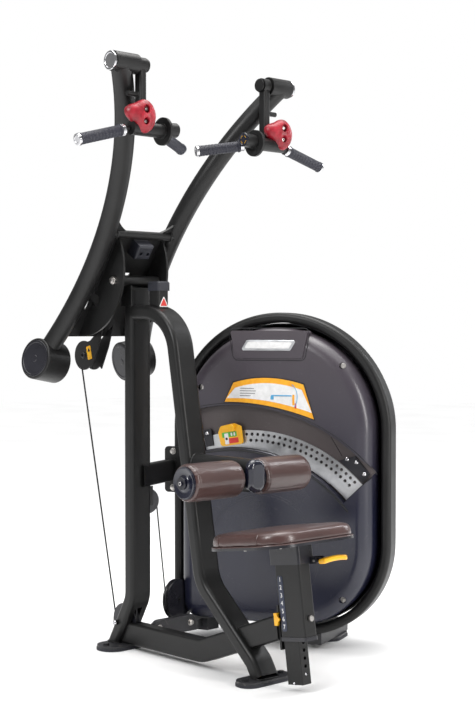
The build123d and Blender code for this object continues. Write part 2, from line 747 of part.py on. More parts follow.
def arm_gusset(side):
    """Curved web in the fork between the crossbar and one tube."""
    edges = [
        Line((side * 60, CROSSBAR_S + 6), (side * 250, CROSSBAR_S + 6)),
        Line((side * 250, CROSSBAR_S + 6), (side * 250, 262)),
        Line((side * 250, 262), (side * 168, 262)),
        ThreePointArc((side * 168, 262), (side * 128, 160), (side * 60, CROSSBAR_S + 6)),
    ]
    web = Pos(0, 0, -4) * extrude(make_face(Wire(edges)), 8)
    web -= bowed_tube(side)[0] + rod((-170, CROSSBAR_S, 4), (170, CROSSBAR_S, 4), 14)
    return web.solids().sort_by(lambda solid: abs(solid.center().X))[0]


def handle_housings():
    """Top bearing housing of each handle, with the shaft that the handle swings on."""
    pieces = []
    for side in (-1, 1):
        body = housing_at(side)
        inner = (side * SHAFT_IN, ARM_TOP, HANDLE_N)
        body += rod(inner, (side * HOUSING_IN, ARM_TOP, HANDLE_N), SWING_SHAFT_R)
        body += rod((side * (SHAFT_IN - 4), ARM_TOP, HANDLE_N), inner, 21)
        pieces.append(arm_plane.location * body)
    return pieces


def housing_caps():
    """Chromed end caps of the handle housings."""
    pieces = []
    for side in (-1, 1):
        cap = rod((side * HOUSING_OUT, ARM_TOP, HANDLE_N), (side * (HOUSING_OUT + 6), ARM_TOP, HANDLE_N), 28)
        pieces.append(arm_plane.location * cap)
    return pieces


def arm_bumper():
    """Rubber buffer under the crossbar, which meets the stop at the end of the pull."""
    body = block((-32, 32), (34, 88), (0, 46))
    body = fillet(body.faces().sort_by(Axis.Z)[-1].edges(), 9)
    for x in (-15, 15):
        body -= Pos(x, 58, 46) * Cylinder(6, 16)
    return arm_plane.location * body


def counterweights():
    pieces = []
    for side in (-1, 1):
        weight = counterweight_at(side)
        weight = fillet(weight.edges(), 6)
        pieces.append(arm_plane.location * weight)
    return pieces


def cable_cheeks(back_plate):
    """Two cheek plates at the foot of the arm, with a cross pin between them."""
    pieces = []
    for side in (-1, 1):
        disc = side_plane * Pos(CHEEK_Y, CHEEK_Z) * Circle(CHEEK_R)
        corners = [(92, 1118), (168, 1062), (240, 1048), (160, 962), (120, 1040)]
        root = side_plane * make_face(Polyline(*corners, close=True))
        x = side * CHEEK_X - 2.5
        plate = Pos(x, 0, 0) * (extrude(disc, 5) + extrude(root, 5))
        pieces.append(largest(plate - back_plate))
    return pieces


def pivot_axle():
    """Axle of the arm, with a chromed bolt head at each end."""
    end = LEAF_X + LEAF_THICK / 2
    axle = rod((-end, PIVOT_Y, PIVOT_Z), (end, PIVOT_Y, PIVOT_Z), AXLE_R)
    for side in (-1, 1):
        axle += rod((side * end, PIVOT_Y, PIVOT_Z), (side * (end + 8), PIVOT_Y, PIVOT_Z), 14)
    return axle


# ---------------------------------------------------------------- handles


def handle_frame():
    """Right handle: eye, hanger, stop peg, hub and the two grip bars."""
    eye = rod((254, SWING_Y, SWING_Z), (284, SWING_Y, SWING_Z), 24)
    hanger = block((257, 283), (SWING_Y - 18, SWING_Y + 14), (HUB_Z, SWING_Z))
    hanger = fillet(hanger.edges().filter_by(Axis.Z), 7)
    peg = rod((270, SWING_Y, PEG_Z), (323, SWING_Y, PEG_Z), 8)
    hub = rod((205, HUB_Y, HUB_Z), (330, HUB_Y, HUB_Z), 22)
    flange = rod((196, HUB_Y, HUB_Z), (205, HUB_Y, HUB_Z), 44)
    stub = rod((149, HUB_Y, HUB_Z + 8), (200, HUB_Y, HUB_Z + 4), 23)
    outer = rod((322, -432, HUB_Z), (525, -430, 1668), 11)
    inner = rod((200, -424, HUB_Z - 4), (34, -337, 1690), 11)
    frame = eye + hanger + peg + hub + flange + stub + outer + inner
    return frame - rod((200, SWING_Y, SWING_Z), (300, SWING_Y, SWING_Z), SWING_SHAFT_R + 0.05)


def handle_grips():
    """Rubber sleeves on the two bars of the right handle."""
    outer_a, outer_b = Vector(322, -432, HUB_Z), Vector(525, -430, 1668)
    inner_a, inner_b = Vector(200, -424, HUB_Z - 4), Vector(34, -337, 1690)
    pieces = []
    for a, b, first in ((outer_a, outer_b, 44), (inner_a, inner_b, 42)):
        along = (b - a).normalized()
        sleeve = rod(tuple(a + along * first), tuple(b + along * 4), GRIP_R)
        pieces.append(sleeve - rod(tuple(a), tuple(b), 11))
    return pieces


def climbing_hold():
    """Moulded finger hold, clamped on the front of the hanger."""
    centre = (300, -459, 1759)
    face = Plane(origin=(300, -430, 1759), x_dir=(1, 0, 0), z_dir=(0, -1, 0))
    body = loft([
        face * Ellipse(34, 50),
        face.offset(24) * Ellipse(46, 56),
        face.offset(52) * Ellipse(30, 40),
    ])
    for z in (1736, 1784):
        body -= rod((centre[0], -470, z), (centre[0], -520, z), 11)
    return body


# ---------------------------------------------------------------- cable and pulleys


def unit(v):
    return v.normalized()


def cable_geometry():
    """Tangent points of the cable on its three pulleys."""
    y1, z1, r1 = REAR_PULLEY
    centre1 = Vector(0, y1, z1)
    top = Vector(0, CHEEK_Y + 0.9724 * 50, CHEEK_Z - 0.2334 * 50)
    gap = top - centre1
    reach = hypot(gap.Y, gap.Z)
    lean = atan2(gap.Y, gap.Z) - asin(r1 / reach)
    start = centre1 + Vector(0, cos(lean), -sin(lean)) * r1
    rise = centre1 + Vector(0, -r1, 0)
    low1 = centre1 + Vector(0, 0, -r1)
    h = unit(Vector(TOWER_TANGENT[0], TOWER_TANGENT[1] - rise.Y, 0))
    far = hypot(TOWER_TANGENT[0], TOWER_TANGENT[1] - rise.Y)
    r2 = UPPER_PULLEY_R
    centre2 = Vector(0, rise.Y, UPPER_PULLEY_Z) + h * r2
    drop = UPPER_PULLEY_Z - TOWER_TANGENT[2]
    slant = atan2(far - r2, drop) - asin(r2 / hypot(far - r2, drop))
    leave2 = centre2 + (h * cos(slant) + UP * sin(slant)) * r2
    top2 = centre2 + UP * r2
    down = h * sin(slant) - UP * cos(slant)
    reach3 = Vector(TOWER_TANGENT[0], TOWER_TANGENT[1], 0) - Vector(leave2.X, leave2.Y, 0)
    meet3 = leave2 + down * (reach3.length / sin(slant))
    away = unit(tower_point(78, 128, -120) - tower_point(42, 80, 112))
    axis3 = unit(down.cross(away))
    inward = unit(away - down * away.dot(down))
    centre3 = meet3 + inward * TOWER_PULLEY_R
    under = unit(down - away * down.dot(away))
    leave3 = centre3 + under * TOWER_PULLEY_R
    mid3 = centre3 + unit(unit(meet3 - centre3) + unit(leave3 - centre3)) * TOWER_PULLEY_R
    end = leave3 + away * 215
    return dict(
        top=top, start=start, low1=low1, rise=rise, centre1=centre1, h=h, centre2=centre2, top2=top2,
        leave2=leave2, meet3=meet3, mid3=mid3, leave3=leave3, centre3=centre3, axis3=axis3, end=end,
    )


def cable_lower(g):
    """Cable from the rear pulley up inside the upright, over the upper pulley and into the tower."""
    climb = Vector(0, g["rise"].Y, UPPER_PULLEY_Z)
    path = Wire([
        ThreePointArc(g["start"], g["low1"], g["rise"]),
        Line(g["rise"], climb),
        ThreePointArc(climb, g["top2"], g["leave2"]),
        Line(g["leave2"], g["meet3"]),
        ThreePointArc(g["meet3"], g["mid3"], g["leave3"]),
        Line(g["leave3"], g["end"]),
    ])
    start = Plane(origin=path @ 0, z_dir=path % 0)
    cable = sweep(start * Circle(CABLE_R), path=path)
    print("cable below the arm: length", round(path.length, 1), "volume ratio",
          round(cable.volume / (path.length * 3.14159 * CABLE_R**2), 4))
    return cable


def cable_upper(g):
    """Free span from the arm down to the rear pulley."""
    print("free cable span: length", round((g["top"] - g["start"]).length, 1))
    return rod(tuple(g["start"]), tuple(g["top"]), CABLE_R)


def cable_fitting(g):
    """Swaged ball end of the cable, between the cheek plates of the arm."""
    along = unit(g["top"] - g["start"])
    stem = rod(tuple(g["top"]), tuple(g["top"] + along * 22), 6)
    return stem + Pos(*(g["top"] + along * 24)) * Sphere(8)


def pulley(centre, axis, pitch, half):
    """Grooved pulley that the cable of the pitch radius lies in."""
    deep = pitch - CABLE_R - 0.15
    rim = pitch + 6
    profile = Polyline(
        (PULLEY_BORE, -half), (rim, -half), (rim, -half + 1.5), (deep, -3), (deep, 3),
        (rim, half - 1.5), (rim, half), (PULLEY_BORE, half), close=True,
    )
    wheel = revolve(Plane.XZ * make_face(profile), Axis.Z)
    return Plane(origin=centre, z_dir=axis).location * wheel


def pulley_mounts(g):
    """Axles of the three pulleys, and the cheeks of the upper and tower pulleys."""
    y1, z1 = REAR_PULLEY[:2]
    out = TUBE_WIDE / 2
    pieces = [rod((-out - 8, y1, z1), (out + 8, y1, z1), PULLEY_AXLE)]
    for side in (-1, 1):
        pieces[0] += rod((side * (out + 0.5), y1, z1), (side * (out + 8), y1, z1), 9)
    h, c2 = g["h"], g["centre2"]
    across = unit(h.cross(UP))
    upper = rod(tuple(c2 - across * 19), tuple(c2 + across * 19), PULLEY_AXLE)
    frame2 = Plane(origin=c2, x_dir=h, z_dir=across)
    for side in (-1, 1):
        cheek = frame2.location * block((-5.4, 18), (-14, 52), (side * 13 - 2, side * 13 + 2))
        upper += cheek
    pieces.append(upper)
    c3, a3 = g["centre3"], g["axis3"]
    inner_side = -1 if a3.dot(tower_plane.x_dir) > 0 else 1
    near = c3 - a3 * inner_side * 17
    pieces.append(rod(tuple(near), tuple(c3 + a3 * inner_side * 30), PULLEY_AXLE))
    return pieces


def main():
    os.makedirs("parts", exist_ok=True)
    ring_outer, ring = tower_ring()
    cable = cable_geometry()
    base = tower_base(ring_outer)
    save("upright_tube", upright_tube())
    save("front_tube", front_tube())
    save("base_tube", base_tube())
    save("foot_plates", Compound(children=feet(FOOT_PAD, FOOT_PLATE, 0)))
    save("foot_pads", Compound(children=feet(0, FOOT_PAD, 4)))
    save("pivot_housing", pivot_housing())
    save("stop_block", stop_block())
    save("stop_bumper", stop_bumper())
    save("link_tube", link_tube())
    save("link_bracket", link_bracket())
    save("base_link", base_link())
    save("fasteners", Compound(children=fasteners()))
    save("roller_arm", roller_arm())
    save("roller_arm_cap", roller_arm_cap())
    save("roller_shaft", roller_shaft())
    save("seat_post", seat_post())
    save("height_pointer", height_pointer())
    save("tower_ring", ring)
    save("tower_base", Compound(children=base))
    save("shroud_front", shroud_front(cable))
    save("shroud_rear", shroud_rear(cable))
    save("window_panel", window_panel())
    save("weight_quadrant", weight_quadrant())
    save("quadrant_brackets", Compound(children=quadrant_brackets()))
    save("pulley_mounts", Compound(children=pulley_mounts(cable)))
    save("cable_lower", cable_lower(cable))
    save("cable_upper", cable_upper(cable))
    save("cable_fitting", cable_fitting(cable))
    save("arm_crossbar", arm_crossbar())
    save("arm_back_plate", arm_back_plate())
    save("pivot_plates", Compound(children=pivot_plates()))
    save("handle_housings", Compound(children=handle_housings()))
    save("housing_caps", Compound(children=housing_caps()))
    save("arm_bumper", arm_bumper())
    save("counterweights", Compound(children=counterweights()))
    save("cable_cheeks", Compound(children=cable_cheeks(arm_back_plate())))
    save("pivot_axle", pivot_axle())
    save("seat_sleeve", seat_sleeve())
    save("sleeve_ring", sleeve_ring())
    save("seat_board", seat_board())
    save("seat_pad", seat_pad())
    save("seat_lever", seat_lever())
    save("latch_pin", latch_pin())
    save("selector", selector())
    save("weight_lever", weight_lever())
    save("rear_pulley", pulley(cable["centre1"], X_AXIS, REAR_PULLEY[2], 9))
    save("upper_pulley", pulley(cable["centre2"], cable["h"].cross(UP), UPPER_PULLEY_R, 9))
    save("tower_pulley", pulley(cable["centre3"], cable["axis3"], TOWER_PULLEY_R, 11))
    frame, grips, hold = handle_frame(), Compound(children=handle_grips()), climbing_hold()
    hold = largest(hold - frame)
    for side, name in ((-1, "left"), (1, "right")):
        save(f"arm_tube_{name}", arm_tube(side))
        save(f"roller_pad_{name}", roller_pad(side))
        save(f"roller_core_{name}", roller_core(side))
        for node, shape in (("handle_frame", frame), ("handle_grips", grips), ("climbing_hold", hold)):
            placed = shape if side > 0 else mirror(shape, about=Plane.YZ)
            save(f"{node}_{name}", placed)


main()
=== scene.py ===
from math import cos, exp, pi, radians, sin, sqrt

import bmesh
import bpy
from mathutils import Matrix, Vector, noise


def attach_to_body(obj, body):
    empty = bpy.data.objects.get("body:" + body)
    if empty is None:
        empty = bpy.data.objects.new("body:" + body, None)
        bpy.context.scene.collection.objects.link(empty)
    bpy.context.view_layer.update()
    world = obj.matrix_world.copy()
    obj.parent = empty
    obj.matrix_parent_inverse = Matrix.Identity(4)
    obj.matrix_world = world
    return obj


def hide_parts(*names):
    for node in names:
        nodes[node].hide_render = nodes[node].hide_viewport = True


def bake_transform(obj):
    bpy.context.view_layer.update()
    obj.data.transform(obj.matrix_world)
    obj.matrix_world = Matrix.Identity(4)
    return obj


# Looks of the lat pulldown machine, in metres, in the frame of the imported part.

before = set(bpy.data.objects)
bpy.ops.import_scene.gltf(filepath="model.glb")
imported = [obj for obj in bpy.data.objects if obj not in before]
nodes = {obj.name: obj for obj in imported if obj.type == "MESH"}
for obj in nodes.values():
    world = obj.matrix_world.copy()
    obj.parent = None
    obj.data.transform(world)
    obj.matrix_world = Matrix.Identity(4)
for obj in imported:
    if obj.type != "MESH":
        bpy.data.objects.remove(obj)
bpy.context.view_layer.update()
scene = bpy.context.scene

SHARP = radians(35)
TINY = 1e-7


# ---- local frames


def local_frame(origin, x, y):
    """Frame at a point, with its X and Y axes along two directions at right angles."""
    x, y = Vector(x).normalized(), Vector(y).normalized()
    place = Matrix((x, y, x.cross(y))).transposed().to_4x4()
    place.translation = Vector(origin)
    return place


def axis_frame(point, direction):
    """Frame at a point, with its Z axis along a direction."""
    turn = Vector(direction).to_track_quat("Z", "Y").to_matrix().to_4x4()
    return Matrix.Translation(Vector(point)) @ turn


SEAT_TILT = radians(8)
SEAT = local_frame((0, -0.828, 0.178), (1, 0, 0), (0, cos(SEAT_TILT), -sin(SEAT_TILT)))
TOWER_TURN = radians(-66.9)
TOWER = local_frame((0.259, 0.019, 0), (cos(TOWER_TURN), sin(TOWER_TURN), 0), (0, 0, 1))
ARM_LEAN = radians(33.6)
ARM = local_frame((0, -0.035, 1.336), (1, 0, 0), (0, -sin(ARM_LEAN), cos(ARM_LEAN)))

SEAT_DOWN = SEAT.to_3x3() @ Vector((0, 0, -1))
TOWER_OUT = TOWER.to_3x3() @ Vector((0, 0, 1))
SHROUD_FRONT = 0.100
ARC_CENTRE = Vector((0.270, 0.150))
PLATE_CENTRE = Vector((0.326, 0.207))
PIVOT_Y, PIVOT_Z = -0.066, 1.268
SWING_Y, SWING_Z = -0.4127, 1.9243
HUB = Vector((0, -0.440, 1.722))
POINTER_H = 0.043
SCALE_PITCH = 0.024


# ---- materials


def add_node(tree, kind, result, inputs, **settings):
    """Adds a shader node, sets or links its inputs, and gives one of its outputs."""
    made = tree.nodes.new("ShaderNode" + kind)
    for key, value in settings.items():
        setattr(made, key, value)
    for key, value in inputs.items():
        if isinstance(value, bpy.types.NodeSocket):
            tree.links.new(value, made.inputs[key])
        else:
            made.inputs[key].default_value = value
    return made.outputs[result]


def add_noise(tree, vector, scale, detail=3.0, distortion=0.0):
    inputs = {"Vector": vector, "Scale": scale, "Detail": detail, "Distortion": distortion}
    return add_node(tree, "TexNoise", "Fac", inputs)


def add_cells(tree, vector, scale):
    return add_node(tree, "TexVoronoi", "Distance", {"Vector": vector, "Scale": scale}, feature="F1")


def add_wave(tree, vector, scale, direction):
    inputs = {"Vector": vector, "Scale": scale}
    return add_node(tree, "TexWave", "Fac", inputs, bands_direction=direction, wave_profile="SIN")


def add_range(tree, value, low, high, start=0.3, end=0.7):
    """Carries a value from the range start..end to the range low..high."""
    inputs = {"Value": value, "From Min": start, "From Max": end, "To Min": low, "To Max": high}
    return add_node(tree, "MapRange", "Result", inputs)


def add_mix(tree, factor, first, second):
    """Mixes two colours, each a tuple or an output."""
    first, second = ((*c, 1.0) if isinstance(c, tuple) else c for c in (first, second))
    return add_node(tree, "Mix", 2, {"Factor": factor, 6: first, 7: second}, data_type="RGBA")


def add_sum(tree, first, second, share):
    """First value plus a share of the second."""
    return add_node(tree, "Math", "Value", {0: second, 1: share, 2: first}, operation="MULTIPLY_ADD")


def add_bump(tree, height, strength, distance):
    inputs = {"Height": height, "Strength": strength, "Distance": distance}
    return add_node(tree, "Bump", "Normal", inputs)


def surface(
    name, dark, light, rough, metallic=0.0, patch=9.0, grain=700.0, kind="noise",
    bump=0.25, depth=0.0002, stretch=(1, 1, 1), scuffs=0.0, scuff_colour=(0.3, 0.3, 0.3), painted_reflection=None, **sockets
):
    """Material whose colour and roughness drift over patches, with a fine grain in its bump. A painted
    reflection of (low, high, colour) blends towards its colour between two heights, as painted light,
    not a colour the material has."""
    made = bpy.data.materials.new(name)
    made.use_nodes = True
    tree = made.node_tree
    links = tree.links
    shader = tree.nodes["Principled BSDF"]
    coords = tree.nodes.new("ShaderNodeTexCoord").outputs["Object"]
    fine = add_node(tree, "Mapping", "Vector", {"Vector": coords, "Scale": stretch})

    broad = add_noise(tree, coords, patch, 5.0, 0.4)
    colour = add_mix(tree, add_range(tree, broad, 0.0, 1.0), dark, light)
    # Painted reflection: the colour turns lighter between two heights, standing in for overhead light.
    if painted_reflection:
        level = add_node(tree, "SeparateXYZ", "Z", {0: coords})
        colour = add_mix(tree, add_range(tree, level, 0.0, 1.0, *painted_reflection[:2]), colour, painted_reflection[2])
    if kind == "noise":
        height = add_noise(tree, fine, grain)
    elif kind == "leather":
        height = add_sum(tree, add_cells(tree, fine, grain), add_noise(tree, fine, grain / 6), 0.9)
    elif kind == "knurl":
        slanted = add_wave(tree, fine, grain, "DIAGONAL")
        height = add_sum(tree, slanted, add_wave(tree, fine, grain, "X"), 1.0)
    else:
        height = add_sum(tree, add_noise(tree, fine, grain, 6.0), add_noise(tree, coords, 60.0), 0.4)
    if scuffs:
        marks = add_noise(tree, coords, 34.0, 9.0, 1.8)
        worn = add_range(tree, marks, 0.0, scuffs, 0.62, 0.72)
        colour = add_mix(tree, worn, colour, scuff_colour)
    links.new(colour, shader.inputs["Base Color"])
    mottled = add_sum(tree, broad, height, 0.35)
    links.new(add_range(tree, mottled, rough[0], rough[1], 0.35, 1.0), shader.inputs["Roughness"])
    links.new(add_bump(tree, height, bump, depth), shader.inputs["Normal"])
    shader.inputs["Metallic"].default_value = metallic
    for socket, value in sockets.items():
        shader.inputs[socket.replace("_", " ")].default_value = value
    return made


powder = surface(
    "powder_coat", (0.006, 0.006, 0.006), (0.010, 0.010, 0.0103), (0.34, 0.46), grain=1100.0,
    bump=0.35, scuffs=0.08, scuff_colour=(0.05, 0.05, 0.05), Specular_IOR_Level=0.36,
)
foot_paint = surface(
    "foot_paint", (0.016, 0.016, 0.018), (0.03, 0.03, 0.034), (0.3, 0.5), grain=900.0,
    bump=0.35, depth=0.0003, scuffs=0.5, scuff_colour=(0.14, 0.13, 0.12),
)
chrome = surface(
    "chrome", (0.58, 0.58, 0.60), (0.70, 0.70, 0.72), (0.08, 0.22), 1.0, patch=30.0,
    grain=500.0, bump=0.06, depth=0.0001,
)
zinc = surface(
    "zinc_steel", (0.42, 0.40, 0.38), (0.62, 0.60, 0.58), (0.22, 0.42), 1.0, patch=120.0,
    grain=1500.0, bump=0.2, depth=0.0001,
)
aluminium = surface(
    "brushed_aluminium", (0.55, 0.56, 0.58), (0.72, 0.73, 0.75), (0.26, 0.42), 1.0, patch=24.0,
    grain=40.0, kind="brushed", bump=0.22, stretch=(2, 2, 60), Anisotropic=0.4,
)
rubber = surface(
    "moulded_rubber", (0.008, 0.009, 0.014), (0.016, 0.017, 0.026), (0.42, 0.62),
    grain=1300.0, bump=0.5,
)
grip_rubber = surface(
    "grip_rubber", (0.008, 0.009, 0.018), (0.016, 0.017, 0.030), (0.34, 0.55), grain=130.0, kind="knurl",
    bump=0.7, depth=0.0006,
)
plastic = surface(
    "moulded_plastic", (0.008, 0.008, 0.011), (0.016, 0.016, 0.022), (0.22, 0.38),
    grain=1400.0, bump=0.2,
)
gloss_plastic = surface(
    "gloss_plastic", (0.007, 0.008, 0.016), (0.012, 0.013, 0.026), (0.08, 0.2),
    grain=600.0, bump=0.05, Coat_Weight=0.5, Coat_Roughness=0.08,
)
# The shroud turns taupe towards its top: a painted reflection of the overhead light, not the plastic's own
# colour.
shroud_plastic = surface(
    "shroud_plastic", (0.006, 0.007, 0.020), (0.010, 0.011, 0.027), (0.22, 0.34), patch=3.0,
    grain=520.0, kind="leather", bump=0.16, depth=0.0003, scuffs=0.05,
    painted_reflection=(0.50, 1.15, (0.066, 0.055, 0.064)), Coat_Weight=0.25, Coat_Roughness=0.22,
)
rear_plastic = surface(
    "rear_shroud_plastic", (0.008, 0.008, 0.014), (0.014, 0.013, 0.020), (0.34, 0.5), patch=3.0,
    grain=420.0, kind="leather", bump=0.3, depth=0.0003, scuffs=0.05,
)
panel_plastic = surface(
    "taupe_panel", (0.060, 0.049, 0.050), (0.082, 0.068, 0.069), (0.26, 0.40), patch=4.0,
    grain=600.0, kind="leather", bump=0.12, scuffs=0.06,
)
yellow = surface(
    "yellow_plastic", (0.78, 0.37, 0.006), (0.88, 0.47, 0.012), (0.24, 0.4), patch=26.0,
    grain=900.0, bump=0.15, Subsurface_Weight=0.06, Subsurface_Scale=0.002,
)
vinyl = surface(
    "brown_vinyl", (0.040, 0.017, 0.015), (0.058, 0.026, 0.023), (0.24, 0.36), patch=7.0,
    grain=480.0, kind="leather", bump=0.32, depth=0.0004, Sheen_Weight=0.05, Coat_Weight=0.45,
    Coat_Roughness=0.20,
)
vinyl_thread = surface(
    "vinyl_thread", (0.075, 0.040, 0.036), (0.13, 0.075, 0.07), (0.5, 0.7), grain=2600.0,
    bump=0.6, depth=0.0003,
)
resin = surface(
    "crimson_resin", (0.17, 0.004, 0.010), (0.40, 0.012, 0.028), (0.3, 0.46), patch=42.0,
    grain=380.0, bump=0.45, depth=0.0007, Subsurface_Weight=0.08, Subsurface_Scale=0.004,
)
cable_jacket = surface(
    "cable_jacket", (0.006, 0.006, 0.007), (0.014, 0.014, 0.016), (0.25, 0.4), grain=1600.0,
    bump=0.3,
)
strip_blue = surface(
    "scale_strip", (0.014, 0.020, 0.045), (0.022, 0.030, 0.062), (0.3, 0.45), patch=50.0,
    grain=1500.0, bump=0.1, depth=0.0001,
)


def printed(name, dark, light, rough=(0.35, 0.5)):
    """Ink or label stock: an even colour with hardly any grain."""
    return surface(
        name, dark, light, rough, patch=60.0, grain=1500.0, bump=0.08, depth=0.0001
    )


print_white = printed("printed_white", (0.66, 0.66, 0.66), (0.78, 0.78, 0.78))
print_blue = printed("printed_blue", (0.05, 0.27, 0.50), (0.08, 0.36, 0.62))
print_orange = printed("printed_orange", (0.78, 0.32, 0.010), (0.86, 0.42, 0.018), (0.3, 0.45))
print_red = printed("printed_red", (0.55, 0.02, 0.015), (0.66, 0.04, 0.03))
print_green = printed("printed_green", (0.06, 0.34, 0.03), (0.10, 0.44, 0.05))
seam_black = surface(
    "seam_black", (0.004, 0.004, 0.006), (0.009, 0.009, 0.012), (0.4, 0.6), grain=1500.0,
    bump=0.2, depth=0.0001,
)

CAD_FINISH = {
    foot_paint: ("foot_plates", "tower_base", "base_link"),
    chrome: ("housing_caps", "cable_fitting"),
    zinc: ("pivot_axle", "latch_pin"),
    aluminium: ("weight_quadrant",),
    rubber: ("foot_pads", "stop_bumper", "arm_bumper"),
    gloss_plastic: ("roller_arm_cap", "roller_core_left", "roller_core_right", "roller_shaft"),
    plastic: ("sleeve_ring", "seat_board", "rear_pulley", "upper_pulley", "tower_pulley",
              "quadrant_brackets"),
    shroud_plastic: ("shroud_front",),
    rear_plastic: ("shroud_rear",),
    panel_plastic: ("window_panel",),
    yellow: ("height_pointer",),
    cable_jacket: ("cable_lower",),
}
for node in nodes.values():
    node.data.materials.clear()
    node.data.materials.append(powder)
for finish, names in CAD_FINISH.items():
    for name in names:
        nodes[name].data.materials[0] = finish


# ---- mesh helpers


def add_object(name, data):
    made = bpy.data.objects.new(name, data)
    scene.collection.objects.link(made)
    return made


def add_piece(name, bm, materials, body, stands_for=()):
    """Makes the mesh a piece, which rides on a body where one is named."""
    bmesh.ops.recalc_face_normals(bm, faces=bm.faces)
    for face in bm.faces:
        face.smooth = True
    for edge in bm.edges:
        if len(edge.link_faces) == 2 and edge.calc_face_angle(0.0) > SHARP:
            edge.smooth = False
    mesh = bpy.data.meshes.new(name)
    bm.to_mesh(mesh)
    bm.free()
    made = add_object(name, mesh)
    for material in materials:
        mesh.materials.append(material)
    if body:
        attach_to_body(made, body)
    if stands_for:
        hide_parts(*stands_for)
    return made


def attach(child, parent):
    """Parents a piece to another where it lies."""
    child.parent = parent
    child.matrix_parent_inverse = parent.matrix_world.inverted()


def baked(thing):
    """Mesh of an object with its modifiers applied."""
    graph = bpy.context.evaluated_depsgraph_get()
    return bpy.data.meshes.new_from_object(thing.evaluated_get(graph))


def add_remesh(thing, size):
    remesh = thing.modifiers.new("remesh", "REMESH")
    remesh.mode = "VOXEL"
    remesh.voxel_size = size


def add_smooth(thing, factor, times):
    smooth = thing.modifiers.new("smooth", "SMOOTH")
    smooth.factor = factor
    smooth.iterations = times


def add_finer(thing, levels):
    finer = thing.modifiers.new("finer", "SUBSURF")
    finer.levels = finer.render_levels = levels


def shade_smooth(mesh):
    for polygon in mesh.polygons:
        polygon.use_smooth = True


def bridge(bm, rings):
    """Joins rings of equal count with four-sided faces."""
    for low, high in zip(rings, rings[1:]):
        for k in range(len(low)):
            m = (k + 1) % len(low)
            bm.faces.new((low[k], low[m], high[m], high[k]))


def turned(bm, profile, place, segments=40, material=0):
    """Adds a turned form about the Z axis of a frame. Each profile point is (radius, height), and a
    third value of 6 makes that ring a hexagon."""
    rings = []
    for point in profile:
        radius, height = point[0], point[1]
        if radius < TINY:
            rings.append([bm.verts.new(place @ Vector((0, 0, height)))])
            continue
        ring = []
        for i in range(segments):
            angle = 2 * pi * i / segments
            reach = radius
            if len(point) > 2:
                reach = radius / cos((angle + pi / 6) % (pi / 3) - pi / 6)
            ring.append(bm.verts.new(place @ Vector((reach * cos(angle), reach * sin(angle), height))))
        rings.append(ring)
    for low, high in zip(rings, rings[1:]):
        for i in range(segments):
            j = (i + 1) % segments
            corners = (low[i % len(low)], low[j % len(low)], high[j % len(high)], high[i % len(high)])
            face = bm.faces.new(list(dict.fromkeys(corners)))
            face.material_index = material
    return rings


def tube(bm, points, radius, segments=10, closed=False, material=0):
    """Adds a round tube through points. Radius is a number, or a function of the point's index."""
    points = [Vector(p) for p in points]
    count = len(points)
    side = None
    rings = []
    for i, point in enumerate(points):
        before = points[i - 1] if i or closed else points[i]
        after = points[(i + 1) % count] if i + 1 < count or closed else points[i]
        along = (after - before).normalized()
        if side is None:
            side = along.orthogonal().normalized()
        side = (side - along * side.dot(along)).normalized()
        up = along.cross(side)
        reach = radius(i) if callable(radius) else radius
        turns = [2 * pi * k / segments for k in range(segments)]
        rings.append([bm.verts.new(point + (side * cos(a) + up * sin(a)) * reach) for a in turns])
    for i in range(count if closed else count - 1):
        low, high = rings[i], rings[(i + 1) % count]
        shift = 0
        if closed and i == count - 1:
            shift = min(range(segments), key=lambda k: (low[0].co - high[k].co).length)
        for k in range(segments):
            m = (k + 1) % segments
            near, far = high[(k + shift) % segments], high[(m + shift) % segments]
            bm.faces.new((low[k], low[m], far, near)).material_index = material
    if not closed:
        for ring in (rings[0], rings[-1]):
            bm.faces.new(ring).material_index = material


def prism(bm, outline, low, high, place, material=0, bevel=0.0):
    """Adds a flat plate with an outline of (x, y) points between two heights."""
    bottom = [bm.verts.new(place @ Vector((x, y, low))) for x, y in outline]
    top = [bm.verts.new(place @ Vector((x, y, high))) for x, y in outline]
    faces = [bm.faces.new(bottom), bm.faces.new(top)]
    rim = faces[1].edges[:]
    for i in range(len(outline)):
        j = (i + 1) % len(outline)
        faces.append(bm.faces.new((bottom[i], bottom[j], top[j], top[i])))
    for face in faces:
        face.material_index = material
    if bevel:
        made = bmesh.ops.bevel(
            bm, geom=rim, offset=bevel, segments=3, profile=0.6, affect="EDGES", clamp_overlap=True
        )
        for face in made["faces"]:
            face.material_index = material


def rectangle(x, y, wide, tall):
    """Corners of a rectangle by its middle and its half sizes."""
    return [(x - wide, y - tall), (x + wide, y - tall), (x + wide, y + tall), (x - wide, y + tall)]


def rounded(corners, radius, steps=6):
    """Outline of a polygon with its corners rounded."""
    outline = []
    count = len(corners)
    for i, corner in enumerate(corners):
        corner = Vector(corner)
        to_last = (Vector(corners[i - 1]) - corner).normalized()
        to_next = (Vector(corners[(i + 1) % count]) - corner).normalized()
        half = to_last.angle(to_next) / 2
        reach = radius / sin(half)
        centre = corner + (to_last + to_next).normalized() * reach
        start = corner + to_last * (reach * cos(half)) - centre
        end = corner + to_next * (reach * cos(half)) - centre
        for k in range(steps + 1):
            arm = (start * (1 - k / steps) + end * (k / steps)).normalized() * radius
            outline.append(tuple(centre + arm))
    return outline


def arc_points(radius, start, end, steps, centre=ARC_CENTRE):
    """Points about one of the tower's arc centres, by angles in degrees to the right of straight up."""
    angles = [radians(start + (end - start) * k / steps) for k in range(steps + 1)]
    return [(centre.x + radius * sin(a), centre.y + radius * cos(a)) for a in angles]


def socket_bolt(bm, point, direction, radius, height, material=0):
    """Button head with a hexagon socket, standing on a point."""
    turned(bm, [
        (0, 0), (radius, 0), (radius, 0.35 * height), (0.86 * radius, 0.75 * height),
        (0.62 * radius, height), (0.48 * radius, height), (0.44 * radius, 0.95 * height, 6),
        (0.42 * radius, 0.35 * height, 6), (0, 0.3 * height),
    ], axis_frame(point, direction), 24, material)


